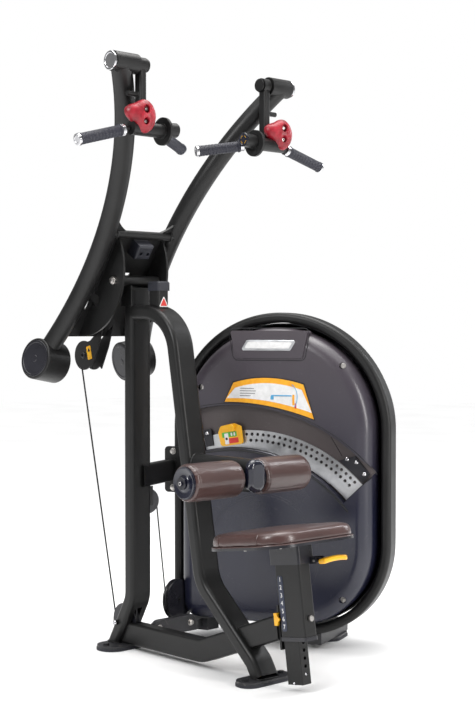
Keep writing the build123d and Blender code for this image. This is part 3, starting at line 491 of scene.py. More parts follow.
def hex_bolt(bm, point, direction, radius, height):
    """Hexagon head on a washer, standing on a point."""
    turned(bm, [
        (0, 0), (1.35 * radius, 0), (1.38 * radius, 0.12 * height), (1.3 * radius, 0.2 * height),
        (radius * 0.98, 0.22 * height, 6), (radius, 0.3 * height, 6), (radius, 0.88 * height, 6),
        (0.86 * radius, height), (0, 1.02 * height),
    ], axis_frame(point, direction), 36)


def weld(bm, points, radius):
    """Weld bead with its ripples along a closed line."""
    tube(bm, points, lambda i: radius * (1 + 0.16 * sin(2.1 * i) + 0.1 * sin(5.3 * i)), 8, True)


def ring_points(place, radius, count=60):
    """Closed circle of points about the Z axis of a frame."""
    turns = [2 * pi * k / count for k in range(count)]
    return [place @ Vector((radius * cos(a), radius * sin(a), 0)) for a in turns]


def divided(outline, spacing):
    """Points along a closed outline, with every side evenly divided by about a spacing."""
    points = []
    for a, b in zip(outline, outline[1:] + outline[:1]):
        a, b = Vector(a), Vector(b)
        parts = max(1, int((b - a).length / spacing))
        points += [a.lerp(b, k / parts) for k in range(parts)]
    return points


def rounded_ring(place, wide, deep, corner):
    """Closed line round an oval tube's section, for a weld bead."""
    outline = rounded(rectangle(0, 0, wide, deep), corner, 5)
    return [place @ Vector((p.x, p.y, 0)) for p in divided(outline, 0.004)]


# ---- camera, light, floor

CAMERA = Vector((-3.054, -3.798, 1.10))
HEADING = Vector((0.687, 0.7266, 0)).normalized()
PITCH = radians(1.06)
SENSOR = 36
LENS = 70.8
RIGHT = Vector((HEADING.y, -HEADING.x, 0))
CENTRE = Vector((0.1, -0.35, 0.9))
AMBIENT = 0.26
SKY_POWER = 2.75
SKY_ANGLE = radians(80)
FLOOR_HALF = 14


def make_camera():
    looking = HEADING * cos(PITCH) - Vector((0, 0, 1)) * sin(PITCH)
    up = RIGHT.cross(looking)
    place = Matrix((RIGHT, up, -looking)).transposed().to_4x4()
    place.translation = CAMERA
    data = bpy.data.cameras.new("camera")
    data.sensor_width = SENSOR
    data.lens = LENS
    camera = add_object("camera", data)
    camera.matrix_world = place
    scene.camera = camera


def soft_light(name, offset, size, power, colour=(1, 1, 1)):
    """Area light at an offset of (right, away from the camera, up) from the object's middle."""
    data = bpy.data.lights.new(name, "AREA")
    data.shape = "RECTANGLE"
    data.size, data.size_y = size
    data.energy = power
    data.color = colour
    spot = CENTRE + RIGHT * offset[0] + HEADING * offset[1] + Vector((0, 0, offset[2]))
    add_object(name, data).matrix_world = axis_frame(spot, spot - CENTRE)


def make_studio():
    """White surroundings to the camera and dimmer ones to the object, soft lights and a pale floor."""
    world = bpy.data.worlds.new("studio")
    world.use_nodes = True
    tree = world.node_tree
    background = tree.nodes["Background"]
    background.inputs["Color"].default_value = (1, 1, 1, 1)
    path = tree.nodes.new("ShaderNodeLightPath")
    seen = add_range(tree, path.outputs["Is Camera Ray"], AMBIENT, 1.0, 0.0, 1.0)
    tree.links.new(seen, background.inputs["Strength"])
    scene.world = world
    soft_light("key", (-2.4, -2.6, 2.2), (1.2, 1.7), 85)
    soft_light("fill", (3.2, -2.4, 1.0), (0.4, 2.6), 75, (1.0, 0.98, 0.96))
    soft_light("top", (0.2, 0.2, 3.2), (2.0, 2.0), 70, (1.0, 0.98, 0.96))
    soft_light("rim", (2.8, 1.4, 1.4), (0.5, 2.6), 40, (0.97, 0.98, 1.0))
    data = bpy.data.lights.new("sky", "SUN")
    data.energy = SKY_POWER
    data.angle = SKY_ANGLE
    add_object("sky", data)
    bm = bmesh.new()
    prism(bm, rectangle(0, 0, FLOOR_HALF, FLOOR_HALF), -0.02, -0.0006, Matrix())
    mesh = bpy.data.meshes.new("floor")
    bm.to_mesh(mesh)
    bm.free()
    floor = add_object("floor", mesh)
    mesh.materials.append(surface(
        "pale_floor", (0.90, 0.90, 0.90), (0.94, 0.94, 0.94), (0.6, 0.8), patch=1.5,
        grain=60.0, bump=0.05, depth=0.0003,
    ))
    scene.view_settings.view_transform = "Standard"
    scene.view_settings.look = "None"


# ---- seat pad

PAD_BOTTOM = 0.276
PAD_CORNERS = [(-0.198, -0.150), (0.198, -0.150), (0.178, 0.200), (-0.178, 0.200)]
PAD_ROUND = 0.092
HELD_DEPTH = 0.006
CLOTH_VOXEL = 0.005
CLOTH_FRAMES = 20
CLOTH_PRESSURE = 4.0
CLOTH_CAP = 0.0026
CLOTH_SHARE = 0.5


def inset_outline(inset, steps=12):
    """Outline of the seat pad, drawn in by a distance."""
    corners = [Vector(c) for c in PAD_CORNERS]
    centre = sum(corners, Vector((0, 0))) / 4
    moved = [c - Vector(((c.x > centre.x) * 2 - 1, (c.y > centre.y) * 2 - 1)) * inset for c in corners]
    return rounded(moved, PAD_ROUND - inset, steps)


def inflate(source):
    """Swells a closed mesh as filled fabric, holding its base, and caps how far a point moves."""
    add_remesh(source, CLOTH_VOXEL)
    mesh = baked(source)
    source.modifiers.clear()
    source.data = mesh
    rest = [v.co.copy() for v in mesh.vertices]
    held = source.vertex_groups.new(name="held")
    back = SEAT.inverted()
    low = [v.index for v in mesh.vertices if (back @ v.co).z < PAD_BOTTOM + HELD_DEPTH]
    held.add(low, 1.0, "REPLACE")
    cloth = source.modifiers.new("cloth", "CLOTH").settings
    cloth.quality = 6
    cloth.mass = 0.3
    cloth.use_pressure = True
    cloth.uniform_pressure_force = CLOTH_PRESSURE
    cloth.tension_stiffness = 25
    cloth.compression_stiffness = 25
    cloth.bending_stiffness = 2.0
    cloth.effector_weights.gravity = 0.0
    cloth.vertex_group_mass = "held"
    for step in range(1, CLOTH_FRAMES + 1):
        scene.frame_set(step)
    swollen = baked(source)
    source.modifiers.clear()
    source.vertex_groups.clear()
    for vertex, start, moved in zip(mesh.vertices, rest, swollen.vertices):
        step = moved.co - start
        if step.length > CLOTH_CAP:
            step *= CLOTH_CAP / step.length
        vertex.co = start + step * CLOTH_SHARE
    scene.frame_set(1)
    add_smooth(source, 0.6, 9)
    add_finer(source, 1)
    source.data = baked(source)
    source.modifiers.clear()
    shade_smooth(source.data)


def stitches(bm, points, length, radius):
    """Dashes of thread along a line, one between every second pair of points."""
    for i in range(0, len(points) - 1, 2):
        a, b = Vector(points[i]), Vector(points[i + 1])
        middle = (a + b) / 2
        half = (b - a).normalized() * length / 2
        tube(bm, [middle - half, middle, middle + half], lambda k: radius * (1 if k == 1 else 0.5), 6)


def on_surface(cushion, point, lift):
    """Nearest point of a cushion's skin, lifted off it."""
    hit, where, normal, _ = cushion.closest_point_on_mesh(Vector(point))
    return where + normal * lift if hit else Vector(point)


def make_seat():
    """Crowned vinyl cushion with corner seams and a piped rim, and the screws under its board."""
    bm = bmesh.new()
    levels = [
        (0.004, 0.0004), (0.0035, 0.012), (0.004, 0.024), (0.008, 0.034), (0.016, 0.0395),
        (0.030, 0.0415), (0.060, 0.043),
    ]
    rings = []
    for inset, rise in levels:
        outline = inset_outline(inset)
        rings.append([bm.verts.new(SEAT @ Vector((x, y, PAD_BOTTOM + rise))) for x, y in outline])
    bridge(bm, rings)
    bm.faces.new(rings[0])
    bm.faces.new(rings[-1])
    cushion = add_piece("seat_cushion", bm, [vinyl], None)
    inflate(cushion)
    cushion.data.materials.clear()
    cushion.data.materials.append(vinyl)
    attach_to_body(cushion, "seat")
    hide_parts("seat_pad")

    bm = bmesh.new()
    seam_feet = [(-0.176, -0.062), (0.176, -0.062), (0.164, 0.120), (-0.164, 0.120)]
    seam_steps = 14
    for x, y in seam_feet:
        out = 1 if x > 0 else -1
        line = []
        for k in range(seam_steps + 1):
            t = k / seam_steps
            point = Vector((x + out * (0.028 - 0.016 * t * t), y, PAD_BOTTOM + 0.003 + 0.043 * t))
            line.append(on_surface(cushion, SEAT @ point, 0.0002))
        tube(bm, line, 0.0013, 8)
    rim = [SEAT @ Vector((p.x, p.y, PAD_BOTTOM + 0.0016)) for p in divided(inset_outline(0.001, 16), 0.008)]
    tube(bm, rim, 0.0022, 8, True)
    attach(add_piece("seat_seams", bm, [vinyl], "seat"), cushion)

    bm = bmesh.new()
    for wide, y in ((0.120, -0.090), (0.110, 0.140), (0.16, 0.02)):
        for x in (-wide, wide):
            socket_bolt(bm, SEAT @ Vector((x, y, PAD_BOTTOM - 0.008)), SEAT_DOWN, 0.0055, 0.004)
    add_piece("seat_screws", bm, [zinc], "seat")


# ---- height scale

STRIP_X = -0.0252
STRIP_Y = 0.022
SHOWN_SETTING = 6


def make_scale():
    """Strip with the seat's height numbers 1 to 7."""
    place = SEAT @ local_frame((STRIP_X, STRIP_Y, 0), (0, -1, 0), (0, 0, 1))
    bm = bmesh.new()
    low, high = POINTER_H - 1.55 * SCALE_PITCH, POINTER_H + 5.5 * SCALE_PITCH
    outline = rounded([(-0.011, low), (0.011, low), (0.011, high), (-0.011, high)], 0.0072)
    prism(bm, outline, -0.0002, 0.0006, place, 0, 0.0002)
    add_piece("height_scale", bm, [strip_blue], "seat")
    bm = bmesh.new()
    for number in range(1, 8):
        curve = bpy.data.curves.new(f"digit_{number}", "FONT")
        curve.body = str(number)
        curve.size = 0.0195
        curve.align_x = "CENTER"
        curve.align_y = "CENTER"
        curve.extrude = 0.00015
        curve.offset = 0.0002
        digit = add_object(f"digit_{number}", curve)
        mesh = baked(digit)
        height = POINTER_H + (SHOWN_SETTING - number) * SCALE_PITCH
        mesh.transform(place @ Matrix.Translation((0, height, 0.0008)))
        bm.from_mesh(mesh)
        bpy.data.objects.remove(digit)
    add_piece("height_numbers", bm, [print_white], "seat")


# ---- seat lever

LEVER_PIVOT = (0.035, -0.089, 0.214)


def make_lever():
    """Curved hand lever with a rolled lip and its bracket."""
    bm = bmesh.new()
    steps = 22
    tip_start = 0.82
    section = (
        (-1.0, 0.000), (-0.86, 0.0062), (-0.5, 0.0082), (0, 0.0088), (0.5, 0.0082), (0.86, 0.0062),
        (1.0, 0.000), (0.82, -0.0086), (0, -0.0060), (-0.82, -0.0086),
    )
    rows = []
    for i in range(steps + 1):
        t = i / steps
        x = 0.012 + 0.112 * t
        width = 0.015
        if t > tip_start:
            width *= min(1.0, sqrt(max(0.0, 1 - ((t - tip_start) / 0.18) ** 2)))
        width = max(width, 0.0012)
        rise = 0.004 * sin(pi * t) + 0.001 * t
        rows.append([
            bm.verts.new(SEAT @ Vector((x, -0.1245 + v * width, 0.2105 + rise + h))) for v, h in section
        ])
    bridge(bm, rows)
    bm.faces.new(rows[0])
    bm.faces.new(rows[-1])
    paddle = add_piece("lever_paddle", bm, [yellow], "lever", ("seat_lever",))
    add_finer(paddle, 2)

    bm = bmesh.new()
    place = SEAT @ local_frame(LEVER_PIVOT, (0, 1, 0), (0, 0, 1))
    for radius, half, edge, chamfer, segments, material in (
        (0.009, 0.0115, 0.0105, 0.008, 32, 0), (0.004, 0.0205, 0.02, 0.0036, 24, 1),
    ):
        turned(bm, [(0, -half), (chamfer, -half), (radius, -edge), (radius, edge), (chamfer, half),
                    (0, half)], place, segments, material)
    neck = [(-0.0035, -0.006), (-0.036, -0.006), (-0.036, 0.004), (-0.0035, 0.006)]
    prism(bm, neck, -0.008, 0.008, place, 0, 0.0012)
    socket_bolt(bm, SEAT @ Vector((0.036, -0.1155, 0.2085)), SEAT_DOWN, 0.0045, 0.003, 1)
    add_piece("lever_neck", bm, [plastic, zinc], "lever")


# ---- thigh rollers

ROLLER_Y = -0.600
ROLLER_Z = 0.634
ROLLER_R = 0.0595
ROLLER_HALF = 0.101
ROLLER_ROWS = 72
ROLLER_AROUND = 144
SLEEVE_R = 0.05
RIM_INSET = 0.0125


def make_roller(side, name):
    """Stuffed vinyl sleeve with gathered ends, a lengthwise seam and stitched rims."""
    bm = bmesh.new()
    place = axis_frame((side * 0.149, ROLLER_Y, ROLLER_Z), (side, 0, 0))
    half = ROLLER_HALF
    shape = [(0.0225, -half + 0.003), (0.044, -half + 0.0005), (0.0535, -half - 0.0002)]
    for i in range(1, ROLLER_ROWS):
        h = -half + 2 * half * i / ROLLER_ROWS
        edge = half - abs(h)
        groove = exp(-(((edge - RIM_INSET) / 0.0016) ** 2))
        radius = ROLLER_R - 0.0062 * exp(-edge / 0.0042) - 0.0011 * groove
        shape.append((radius - 0.0009 * (h / half) ** 2, h))
    shape += [(0.0535, half + 0.0002), (0.044, half - 0.0005), (0.0225, half - 0.003)]
    rings = []
    for radius, h in shape:
        ring = []
        sleeve = radius > SLEEVE_R
        gather = exp(-max(half - abs(h), 0) / 0.016) * sleeve
        for k in range(ROLLER_AROUND):
            angle = 2 * pi * k / ROLLER_AROUND
            soft = noise.noise(Vector((cos(angle) * 2.2, sin(angle) * 2.2, h * 22 + side * 7)))
            crease = noise.noise(Vector((cos(angle) * 9, sin(angle) * 9, h * 30 + side)))
            reach = radius + 0.0005 * gather * sin(angle * 26 + 1.5 * soft) * sleeve
            reach += (0.0006 * soft + 0.0003 * crease) * sleeve - 0.0005 * sleeve
            seam = abs((angle - 1.25 * pi + pi) % (2 * pi) - pi)
            reach -= 0.0012 * exp(-((seam * radius / 0.0014) ** 2)) * sleeve
            ring.append(bm.verts.new(place @ Vector((reach * cos(angle), reach * sin(angle), h))))
        rings.append(ring)
    bridge(bm, rings)
    for k in range(ROLLER_AROUND):
        m = (k + 1) % ROLLER_AROUND
        bm.faces.new((rings[0][k], rings[0][m], rings[-1][m], rings[-1][k]))
    pad = add_piece(f"roller_cushion_{name}", bm, [vinyl], f"roller_{name}",
                    (f"roller_pad_{name}",))

    bm = bmesh.new()
    for end in (-1, 1):
        rim = place @ Matrix.Translation((0, 0, end * (half - RIM_INSET)))
        stitches(bm, ring_points(rim, ROLLER_R - 0.0014, 120), 0.0034, 0.00055)
    attach(add_piece(f"roller_stitching_{name}", bm, [vinyl_thread], f"roller_{name}"), pad)

    bm = bmesh.new()
    hub = axis_frame((side * 0.2542, ROLLER_Y, ROLLER_Z), (side, 0, 0))
    turned(bm, [(0.0135, -0.0006), (0.046, -0.0006), (0.0475, 0.0012), (0.046, 0.003), (0.041, 0.0026),
                (0.038, 0.0012), (0.026, 0.0012), (0.0225, 0.004), (0.0135, 0.0046), (0.0135, -0.0006)],
           hub, 56)
    add_piece(f"roller_disc_{name}", bm, [gloss_plastic], f"roller_{name}")


def make_roller_ends():
    """Washers and bolts on the ends of the roller shaft."""
    bm = bmesh.new()
    for side in (-1, 1):
        hub = axis_frame((side * 0.2645, ROLLER_Y, ROLLER_Z), (side, 0, 0))
        turned(bm, [(0, 0), (0.0185, 0), (0.0195, 0.0012), (0.0185, 0.0026), (0, 0.0026)], hub, 40, 1)
        socket_bolt(bm, (side * 0.2668, ROLLER_Y, ROLLER_Z), (side, 0, 0), 0.0085, 0.0060)
    add_piece("roller_bolts", bm, [zinc, plastic], "frame")


# ---- handles

GRIP_BORE = 0.0112
GRIP_RIBS = 11


def make_grip(bm, start, end, first):
    """Rubber sleeve with ribs, a chromed collar at its root and a chromed end cap. The sleeve begins
    at a distance along the bar."""
    along = Vector(end) - Vector(start)
    place = axis_frame(start, along)
    length = along.length
    profile = [(GRIP_BORE, first), (0.0185, first), (0.0196, first + 0.002), (0.0196, first + 0.005)]
    span = length - first - 0.024
    for i in range(GRIP_RIBS):
        at = first + 0.008 + span * i / GRIP_RIBS
        profile += [(0.0166, at), (0.0176, at + 0.003), (0.0176, at + span / GRIP_RIBS - 0.003)]
    tip = length + 0.0035
    profile += [
        (0.0178, tip - 0.012), (0.0190, tip - 0.0105), (0.0190, tip - 0.0085), (GRIP_BORE, tip - 0.0085),
    ]
    turned(bm, [*profile, (GRIP_BORE, first)], place)
    turned(bm, [
        (GRIP_BORE, first - 0.013), (0.0172, first - 0.013), (0.0186, first - 0.0115),
        (0.0186, first - 0.0085), (0.0172, first - 0.007), (0.0186, first - 0.0055),
        (0.0186, first - 0.0015), (0.0176, first - 0.0002), (GRIP_BORE, first - 0.0002),
        (GRIP_BORE, first - 0.013),
    ], place, 40, 1)
    turned(bm, [
        (0, tip - 0.0085), (0.0182, tip - 0.0085), (0.0186, tip - 0.006), (0.0182, tip - 0.002),
        (0.0160, tip + 0.0004), (0.0105, tip + 0.0008), (0.0090, tip - 0.0004), (0, tip - 0.0002),
    ], place, 40, 1)


HOLD_TURN = -22
HOLD_HOLES = ((0.008, 0.020, 0.0098, 0.0135, 0.0062), (0.006, -0.018, 0.0092, 0.0105, 0.0064))


def hold_reach(direction):
    """Radius of the finger hold in a direction: a full lobe with a horn to one side."""
    x, y, z = direction
    wide = 0.041 if x > 0 else 0.045
    tall = 0.052 if z > 0 else 0.055
    deep = 0.027
    reach = 1 / sqrt((x / wide) ** 2 + (y / deep) ** 2 + (z / tall) ** 2)
    horn = Vector((-0.95, -0.05, 0.32)).normalized()
    near = max(0.0, direction.dot(horn))
    reach += 0.017 * near ** 7
    waist = Vector((-0.62, -0.1, -0.78)).normalized()
    reach -= 0.010 * max(0.0, direction.dot(waist)) ** 5
    notch = Vector((-0.55, 0.0, 0.85)).normalized()
    reach -= 0.006 * max(0.0, direction.dot(notch)) ** 8
    return reach


def make_hold(side, name):
    """Cast finger hold with two counterbored holes, each given by its middle, its half sizes and
    its bolt's radius."""
    centre = Vector((side * 0.300 + 0.004, -0.457, 1.759))
    turn = Matrix.Rotation(radians(HOLD_TURN), 3, "Z")
    bm = bmesh.new()
    bmesh.ops.create_icosphere(bm, subdivisions=5, radius=1.0)
    for vertex in bm.verts:
        d = vertex.co.normalized()
        lumps = 0.0011 * noise.noise(d * 2.6) + 0.0005 * noise.noise(d * 7.0)
        vertex.co = centre + turn @ d * (hold_reach(d) + lumps)
    body = add_piece(f"finger_hold_{name}", bm, [resin, seam_black], None)
    bm = bmesh.new()
    bore = [(0, 0.006), (0.8, 0.006), (0.86, 0.014), (1.0, 0.021), (1.45, 0.034), (0, 0.034)]
    for x, z, wide, tall, _ in HOLD_HOLES:
        place = axis_frame((x, -0.0005, z), (0, -1, 0))
        rings = turned(bm, bore, place, 32)
        for ring in rings:
            for vertex in ring:
                offset = vertex.co - place.translation
                offset.x *= wide
                offset.z *= tall
                vertex.co = centre + turn @ (place.translation + offset)
    cutter = add_piece("hold_cutter", bm, [resin], "frame")
    cut = body.modifiers.new("cut", "BOOLEAN")
    cut.operation = "DIFFERENCE"
    cut.object = cutter
    cut.solver = "EXACT"
    add_remesh(body, 0.0013)
    add_smooth(body, 0.5, 4)
    body.data = baked(body)
    body.modifiers.clear()
    bpy.data.objects.remove(cutter)
    body.data.materials.clear()
    body.data.materials.append(resin)
    shade_smooth(body.data)
    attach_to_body(body, f"handle_{name}")
    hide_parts(f"climbing_hold_{name}")

    bm = bmesh.new()
    for x, z, _, _, radius in HOLD_HOLES:
        socket_bolt(bm, centre + turn @ Vector((x, -0.0062, z)), turn @ Vector((0, -1, 0)), radius, 0.005)
    add_piece(f"hold_bolts_{name}", bm, [zinc], f"handle_{name}")


def make_handle(side, name):
    """Grips, finger hold, stub cap, hinge washers and welds of one swinging handle."""
    body = f"handle_{name}"
    bm = bmesh.new()
    bars = (
        ((0.322, -0.432, 1.722), (0.525, -0.430, 1.668), 0.044),
        ((0.200, -0.424, 1.718), (0.034, -0.337, 1.690), 0.042),
    )
    for start, end, first in bars:
        make_grip(bm, (side * start[0], *start[1:]), (side * end[0], *end[1:]), first)
    add_piece(f"grip_sleeves_{name}", bm, [grip_rubber, chrome], body, (f"handle_grips_{name}",))
    make_hold(side, name)

    bm = bmesh.new()
    face = axis_frame((side * 0.1492, HUB.y, HUB.z + 0.008), (-side, 0, 0))
    turned(bm, [(0, -0.001), (0.0215, -0.001), (0.0225, 0.0004), (0.0215, 0.002), (0.0175, 0.0024),
                (0.0165, 0.0014), (0, 0.0014)], face, 44)
    marks = 12
    for k in range(marks):
        if k % 3 == 0:
            continue
        turn = face @ Matrix.Rotation(2 * pi * k / marks, 4, "Z")
        prism(bm, [(0.0118, -0.0022), (0.0132, -0.0022), (0.0132, 0.0022), (0.0118, 0.0022)],
              0.0012, 0.0017, turn, 1)
    add_piece(f"stub_cap_{name}", bm, [gloss_plastic, yellow], body)

    bm = bmesh.new()
    radius = 0.0195
    for x in (0.2845, 0.2535):
        ring = axis_frame((side * x, SWING_Y, SWING_Z), (side, 0, 0))
        turned(bm, [(0.0142, -0.001), (radius - 0.004, -0.001), (radius - 0.003, 0), (radius - 0.004, 0.001),
                    (0.0142, 0.001), (0.0142, -0.001)], ring, 40)
    weld(bm, ring_points(axis_frame((side * 0.2065, HUB.y, HUB.z), (1, 0, 0)), 0.0228, 70), 0.0022)
    weld(bm, ring_points(axis_frame((side * 0.2835, SWING_Y, 1.832), (1, 0, 0)), 0.0086, 40), 0.0017)
    add_piece(f"handle_welds_{name}", bm, [powder], body)


# ---- arm


def make_arm_details():
    """Pivot bolts, housing rims, welds, counterweight faces and the bolts and tags on the cheeks."""
    bm = bmesh.new()
    for side in (-1, 1):
        hex_bolt(bm, (side * 0.1072, PIVOT_Y, PIVOT_Z), (side, 0, 0), 0.0095, 0.007)
    add_piece("arm_bolts", bm, [zinc], "arm")

    bm = bmesh.new()
    for side in (-1, 1):
        place = ARM @ local_frame((side * 0.387, 0.699, -0.011), (0, 1, 0), (0, 0, side))
        cap = axis_frame(place.translation, (side, 0, 0))
        turned(bm, [(0, 0), (0.0285, 0), (0.0298, 0.0016), (0.0285, 0.0036), (0.0235, 0.0042),
                    (0.0215, 0.0028), (0.010, 0.0034), (0, 0.0036)], cap, 56)
    add_piece("housing_cap_rims", bm, [chrome], "arm")

    bm = bmesh.new()
    for side in (-1, 1):
        weld(bm, ring_points(ARM @ axis_frame((side * 0.1175, 0.107, 0.004), (1, 0, 0)), 0.0146), 0.0026)
        weld(bm, ring_points(axis_frame((side * 0.0915, PIVOT_Y, PIVOT_Z), (1, 0, 0)), 0.0205), 0.0001)
    add_piece("arm_welds", bm, [powder], "arm")

    bm = bmesh.new()
    tilt = radians(12)
    for side in (-1, 1):
        centre = Vector((side * 0.196, -0.411, 0))
        along = Vector((side * cos(tilt), sin(tilt), 0))
        for end in (-1, 1):
            face = ARM @ axis_frame(centre + along * (end * 0.0525), along * end)
            turned(bm, [(0, -0.001), (0.062, -0.001), (0.0635, 0.0004), (0.062, 0.0018), (0.0565, 0.0022),
                        (0.0545, 0.0008), (0.012, 0.0012), (0.0105, 0.0028), (0, 0.0032)], face, 72)
    add_piece("counterweight_faces", bm, [plastic], "arm")

    bm = bmesh.new()
    for side in (-1, 1):
        socket_bolt(bm, (side * 0.0245, 0.205, 1.010), (side, 0, 0), 0.011, 0.006)
        tag = local_frame((side * 0.0247, 0.172, 1.020), (0, side, 0.25), (0, -0.25 * side, 1))
        prism(bm, rounded(rectangle(0, 0, 0.012, 0.024), 0.003), -0.0002, 0.0005, tag, 1)
        prism(bm, rounded([(-0.008, 0.004), (0.008, 0.004), (0.0, 0.0175)], 0.001), 0.0004, 0.0008, tag, 2)
    add_piece("cheek_bolts_and_tags", bm, [seam_black, yellow, seam_black], "arm")


# ---- main frame details


def make_frame_details():
    """Bolts, screws, welds, the post's hole rims and the pinch point sign."""
    bm = bmesh.new()
    for x in (0.047, 0.188):
        hex_bolt(bm, (x, -0.129, 0.076), (0, -1, 0), 0.0085, 0.009)
    for z in (0.537, 0.667):
        hex_bolt(bm, TOWER @ Vector((0.003, z, 0.046)), TOWER_OUT, 0.0085, 0.008)
    for s, z in ((0.658, 0.980), (0.659, 0.190), (0.136, 0.900)):
        turned(bm, [(0, 0), (0.0095, 0), (0.0095, 0.0015), (0.007, 0.0015), (0.0065, 0.004), (0.0032, 0.0044),
                    (0.003, 0.0018), (0, 0.0018)], TOWER @ Matrix.Translation((s, z, 0.080)), 28)
    add_piece("frame_bolts", bm, [zinc], "frame", ("fasteners",))

    bm = bmesh.new()
    for x, y in ((-0.085, 0), (0.085, 0), (-0.078, -0.686), (0.078, -0.686)):
        hex_bolt(bm, (x, y, 0.016), (0, 0, 1), 0.009, 0.007)
    add_piece("anchor_bolts", bm, [seam_black], "frame")

    bm = bmesh.new()
    for side in (-1, 1):
        socket_bolt(bm, (side * 0.0515, -0.006, 0.090), (side, 0, 0), 0.009, 0.005)
    plate = SEAT.to_3x3()
    socket_bolt(bm, SEAT @ Vector((0, -0.0235, -0.125)), plate @ Vector((0, -1, 0)), 0.005, 0.003)
    socket_bolt(bm, SEAT @ Vector((-0.019, 0.010, -0.1505)), plate @ Vector((-1, 0, 0)), 0.0042, 0.0025)
    for s, z in ((0.671, 0.666), (0.704, 0.656), (0.732, 0.617)):
        socket_bolt(bm, TOWER @ Vector((s, z, 0.079)), TOWER_OUT, 0.0070, 0.0034)
    socket_bolt(bm, TOWER @ Vector((0.153, 0.737, 0.081)), TOWER_OUT, 0.0075, 0.005)
    add_piece("small_screws", bm, [chrome], "frame")

    bm = bmesh.new()
    weld(bm, rounded_ring(Matrix.Translation((0, 0.0227, 0.0175)), 0.0438, 0.0283, 0.016), 0.0028)
    toe = Matrix.Translation((0, -0.6925, 0.0175))
    weld(bm, rounded_ring(toe, 0.0438, 0.0268, 0.016), 0.0028)
    root = local_frame((0, -0.3905, 0.6428), (1, 0, 0), (0, 0.17, 0.985))
    weld(bm, rounded_ring(root, 0.0366, 0.0532, 0.030), 0.0028)
    link = TOWER @ local_frame((-0.005, 0.600, 0.0475), (1, 0, 0), (0, 1, 0))
    weld(bm, rounded_ring(link, 0.0205, 0.0385, 0.010), 0.0026)
    add_piece("frame_welds", bm, [powder], "frame")

    bm = bmesh.new()
    strip = SEAT @ local_frame((0, -0.027, 0), (1, 0, 0), (0, 0, 1))
    for i in range(1, 7):
        ring = strip @ Matrix.Translation((0, POINTER_H + (i - 7) * SCALE_PITCH, 0))
        turned(bm, [(0.0056, -0.001), (0.0056, 0.0002), (0.0074, 0.0003), (0.0084, 0.0), (0.0084, -0.001),
                    (0.0056, -0.001)], ring, 28)
    add_piece("post_hole_rims", bm, [powder], "frame")

    bm = bmesh.new()
    label = local_frame((0, -0.2072, 1.197), (1, 0, 0), (0, 0, 1))
    for wide, foot, tip, corner, low, high, material in (
        (0.0205, -0.019, 0.018, 0.003, -0.0002, 0.0005, 0),
        (0.0150, -0.016, 0.0115, 0.002, 0.0004, 0.0008, 1),
    ):
        triangle = rounded([(-wide, foot), (wide, foot), (0.0, tip)], corner)
        prism(bm, triangle, low, high, label, material)
    add_piece("pinch_point_sign", bm, [print_white, print_red], "frame")


# ---- tower details


CURVE_STEPS = 14


def curve_between(points):
    """Smooth line through three points."""
    a, b, c = (Vector(p) for p in points)
    control = b * 2 - (a + c) / 2
    return [tuple(a * (1 - t) ** 2 + control * 2 * t * (1 - t) + c * t * t)
            for t in (k / CURVE_STEPS for k in range(CURVE_STEPS + 1))]


def make_placard():
    """Plain instruction panel: an orange border, a white field and a drawing of lines only. Each
    layer is (side inset, band inset, bottom, top, material)."""
    face = TOWER @ Matrix.Translation((0, 0, SHROUD_FRONT))
    bm = bmesh.new()
    layers = (
        (0.0, 0.0, 0.0, 0.0008, 0), (0.004, 0.004, 0.0008, 0.0013, 1), (0.010, 0.022, 0.0013, 0.0016, 2),
    )
    for inset, band, low, high, material in layers:
        top = curve_between([
            (0.259 + inset, 0.922 - band), (0.390, 0.940 - band), (0.526 - inset, 0.919 - band),
        ])
        bottom = curve_between([
            (0.565 - 1.2 * inset, 0.793 + 1.2 * band), (0.390, 0.837 + 0.9 * band),
            (0.225 + 1.2 * inset, 0.848 + 0.7 * band),
        ])
        prism(bm, top + bottom, low - 0.0002, high, face, material)
    for k, wide in enumerate((0.052, 0.060, 0.056, 0.040)):
        y = 0.899 - 0.0085 * k
        line = [face @ Vector((0.288 + wide * s, y, 0.0017)) for s in (0, 0.5, 1)]
        tube(bm, line, 0.0009, 6)
    arcs = [(0.470 + 0.03 * cos(radians(a)), 0.872 + 0.045 * sin(radians(a))) for a in range(-50, 75, 8)]
    tube(bm, [face @ Vector((*p, 0.0018)) for p in arcs], 0.0012, 6, False, 3)
    tube(bm, [face @ Vector((0.405 + 0.075 * t, 0.876, 0.0018)) for t in (0, 0.5, 1)], 0.0022, 6, False, 3)
    for x, y, wide, tall, material in (
        (0.486, 0.862, 0.004, 0.018, 4), (0.494, 0.842, 0.003, 0.009, 5), (0.408, 0.868, 0.006, 0.006, 3),
    ):
        prism(bm, rounded(rectangle(x, y, wide, tall), 0.0025), 0.0014, 0.0019, face, material)
    add_piece("placard", bm, [seam_black, print_orange, print_white, print_blue, print_orange, print_red],
              "frame")


def make_badge():
    """Blank name plate on the badge panel."""
    face = TOWER @ Matrix.Translation((0, 0, 0.104))
    bm = bmesh.new()
    plate = [(0.292, 1.030), (0.475, 1.030), (0.498, 1.066), (0.315, 1.066)]
    prism(bm, rounded(plate, 0.006), -0.0004, 0.0018, face, 0, 0.0006)
    inner = [(0.305, 1.037), (0.470, 1.037), (0.484, 1.059), (0.319, 1.059)]
    prism(bm, rounded(inner, 0.004), 0.0016, 0.0024, face, 1, 0.0003)
    add_piece("blank_badge", bm, [aluminium, print_white], "frame")
    bm = bmesh.new()
    outline = rounded([(0.243, 1.1065), (0.547, 1.1065), (0.527, 0.996), (0.263, 0.996)], 0.02, 8)
    points = []
    for a, b in zip(outline, outline[1:] + outline[:1]):
        points += [face @ Vector((*Vector(a).lerp(Vector(b), t), -0.0038)) for t in (0, 0.25, 0.5, 0.75)]
    tube(bm, points, 0.0011, 6, True)
    add_piece("badge_seam", bm, [seam_black], "frame")


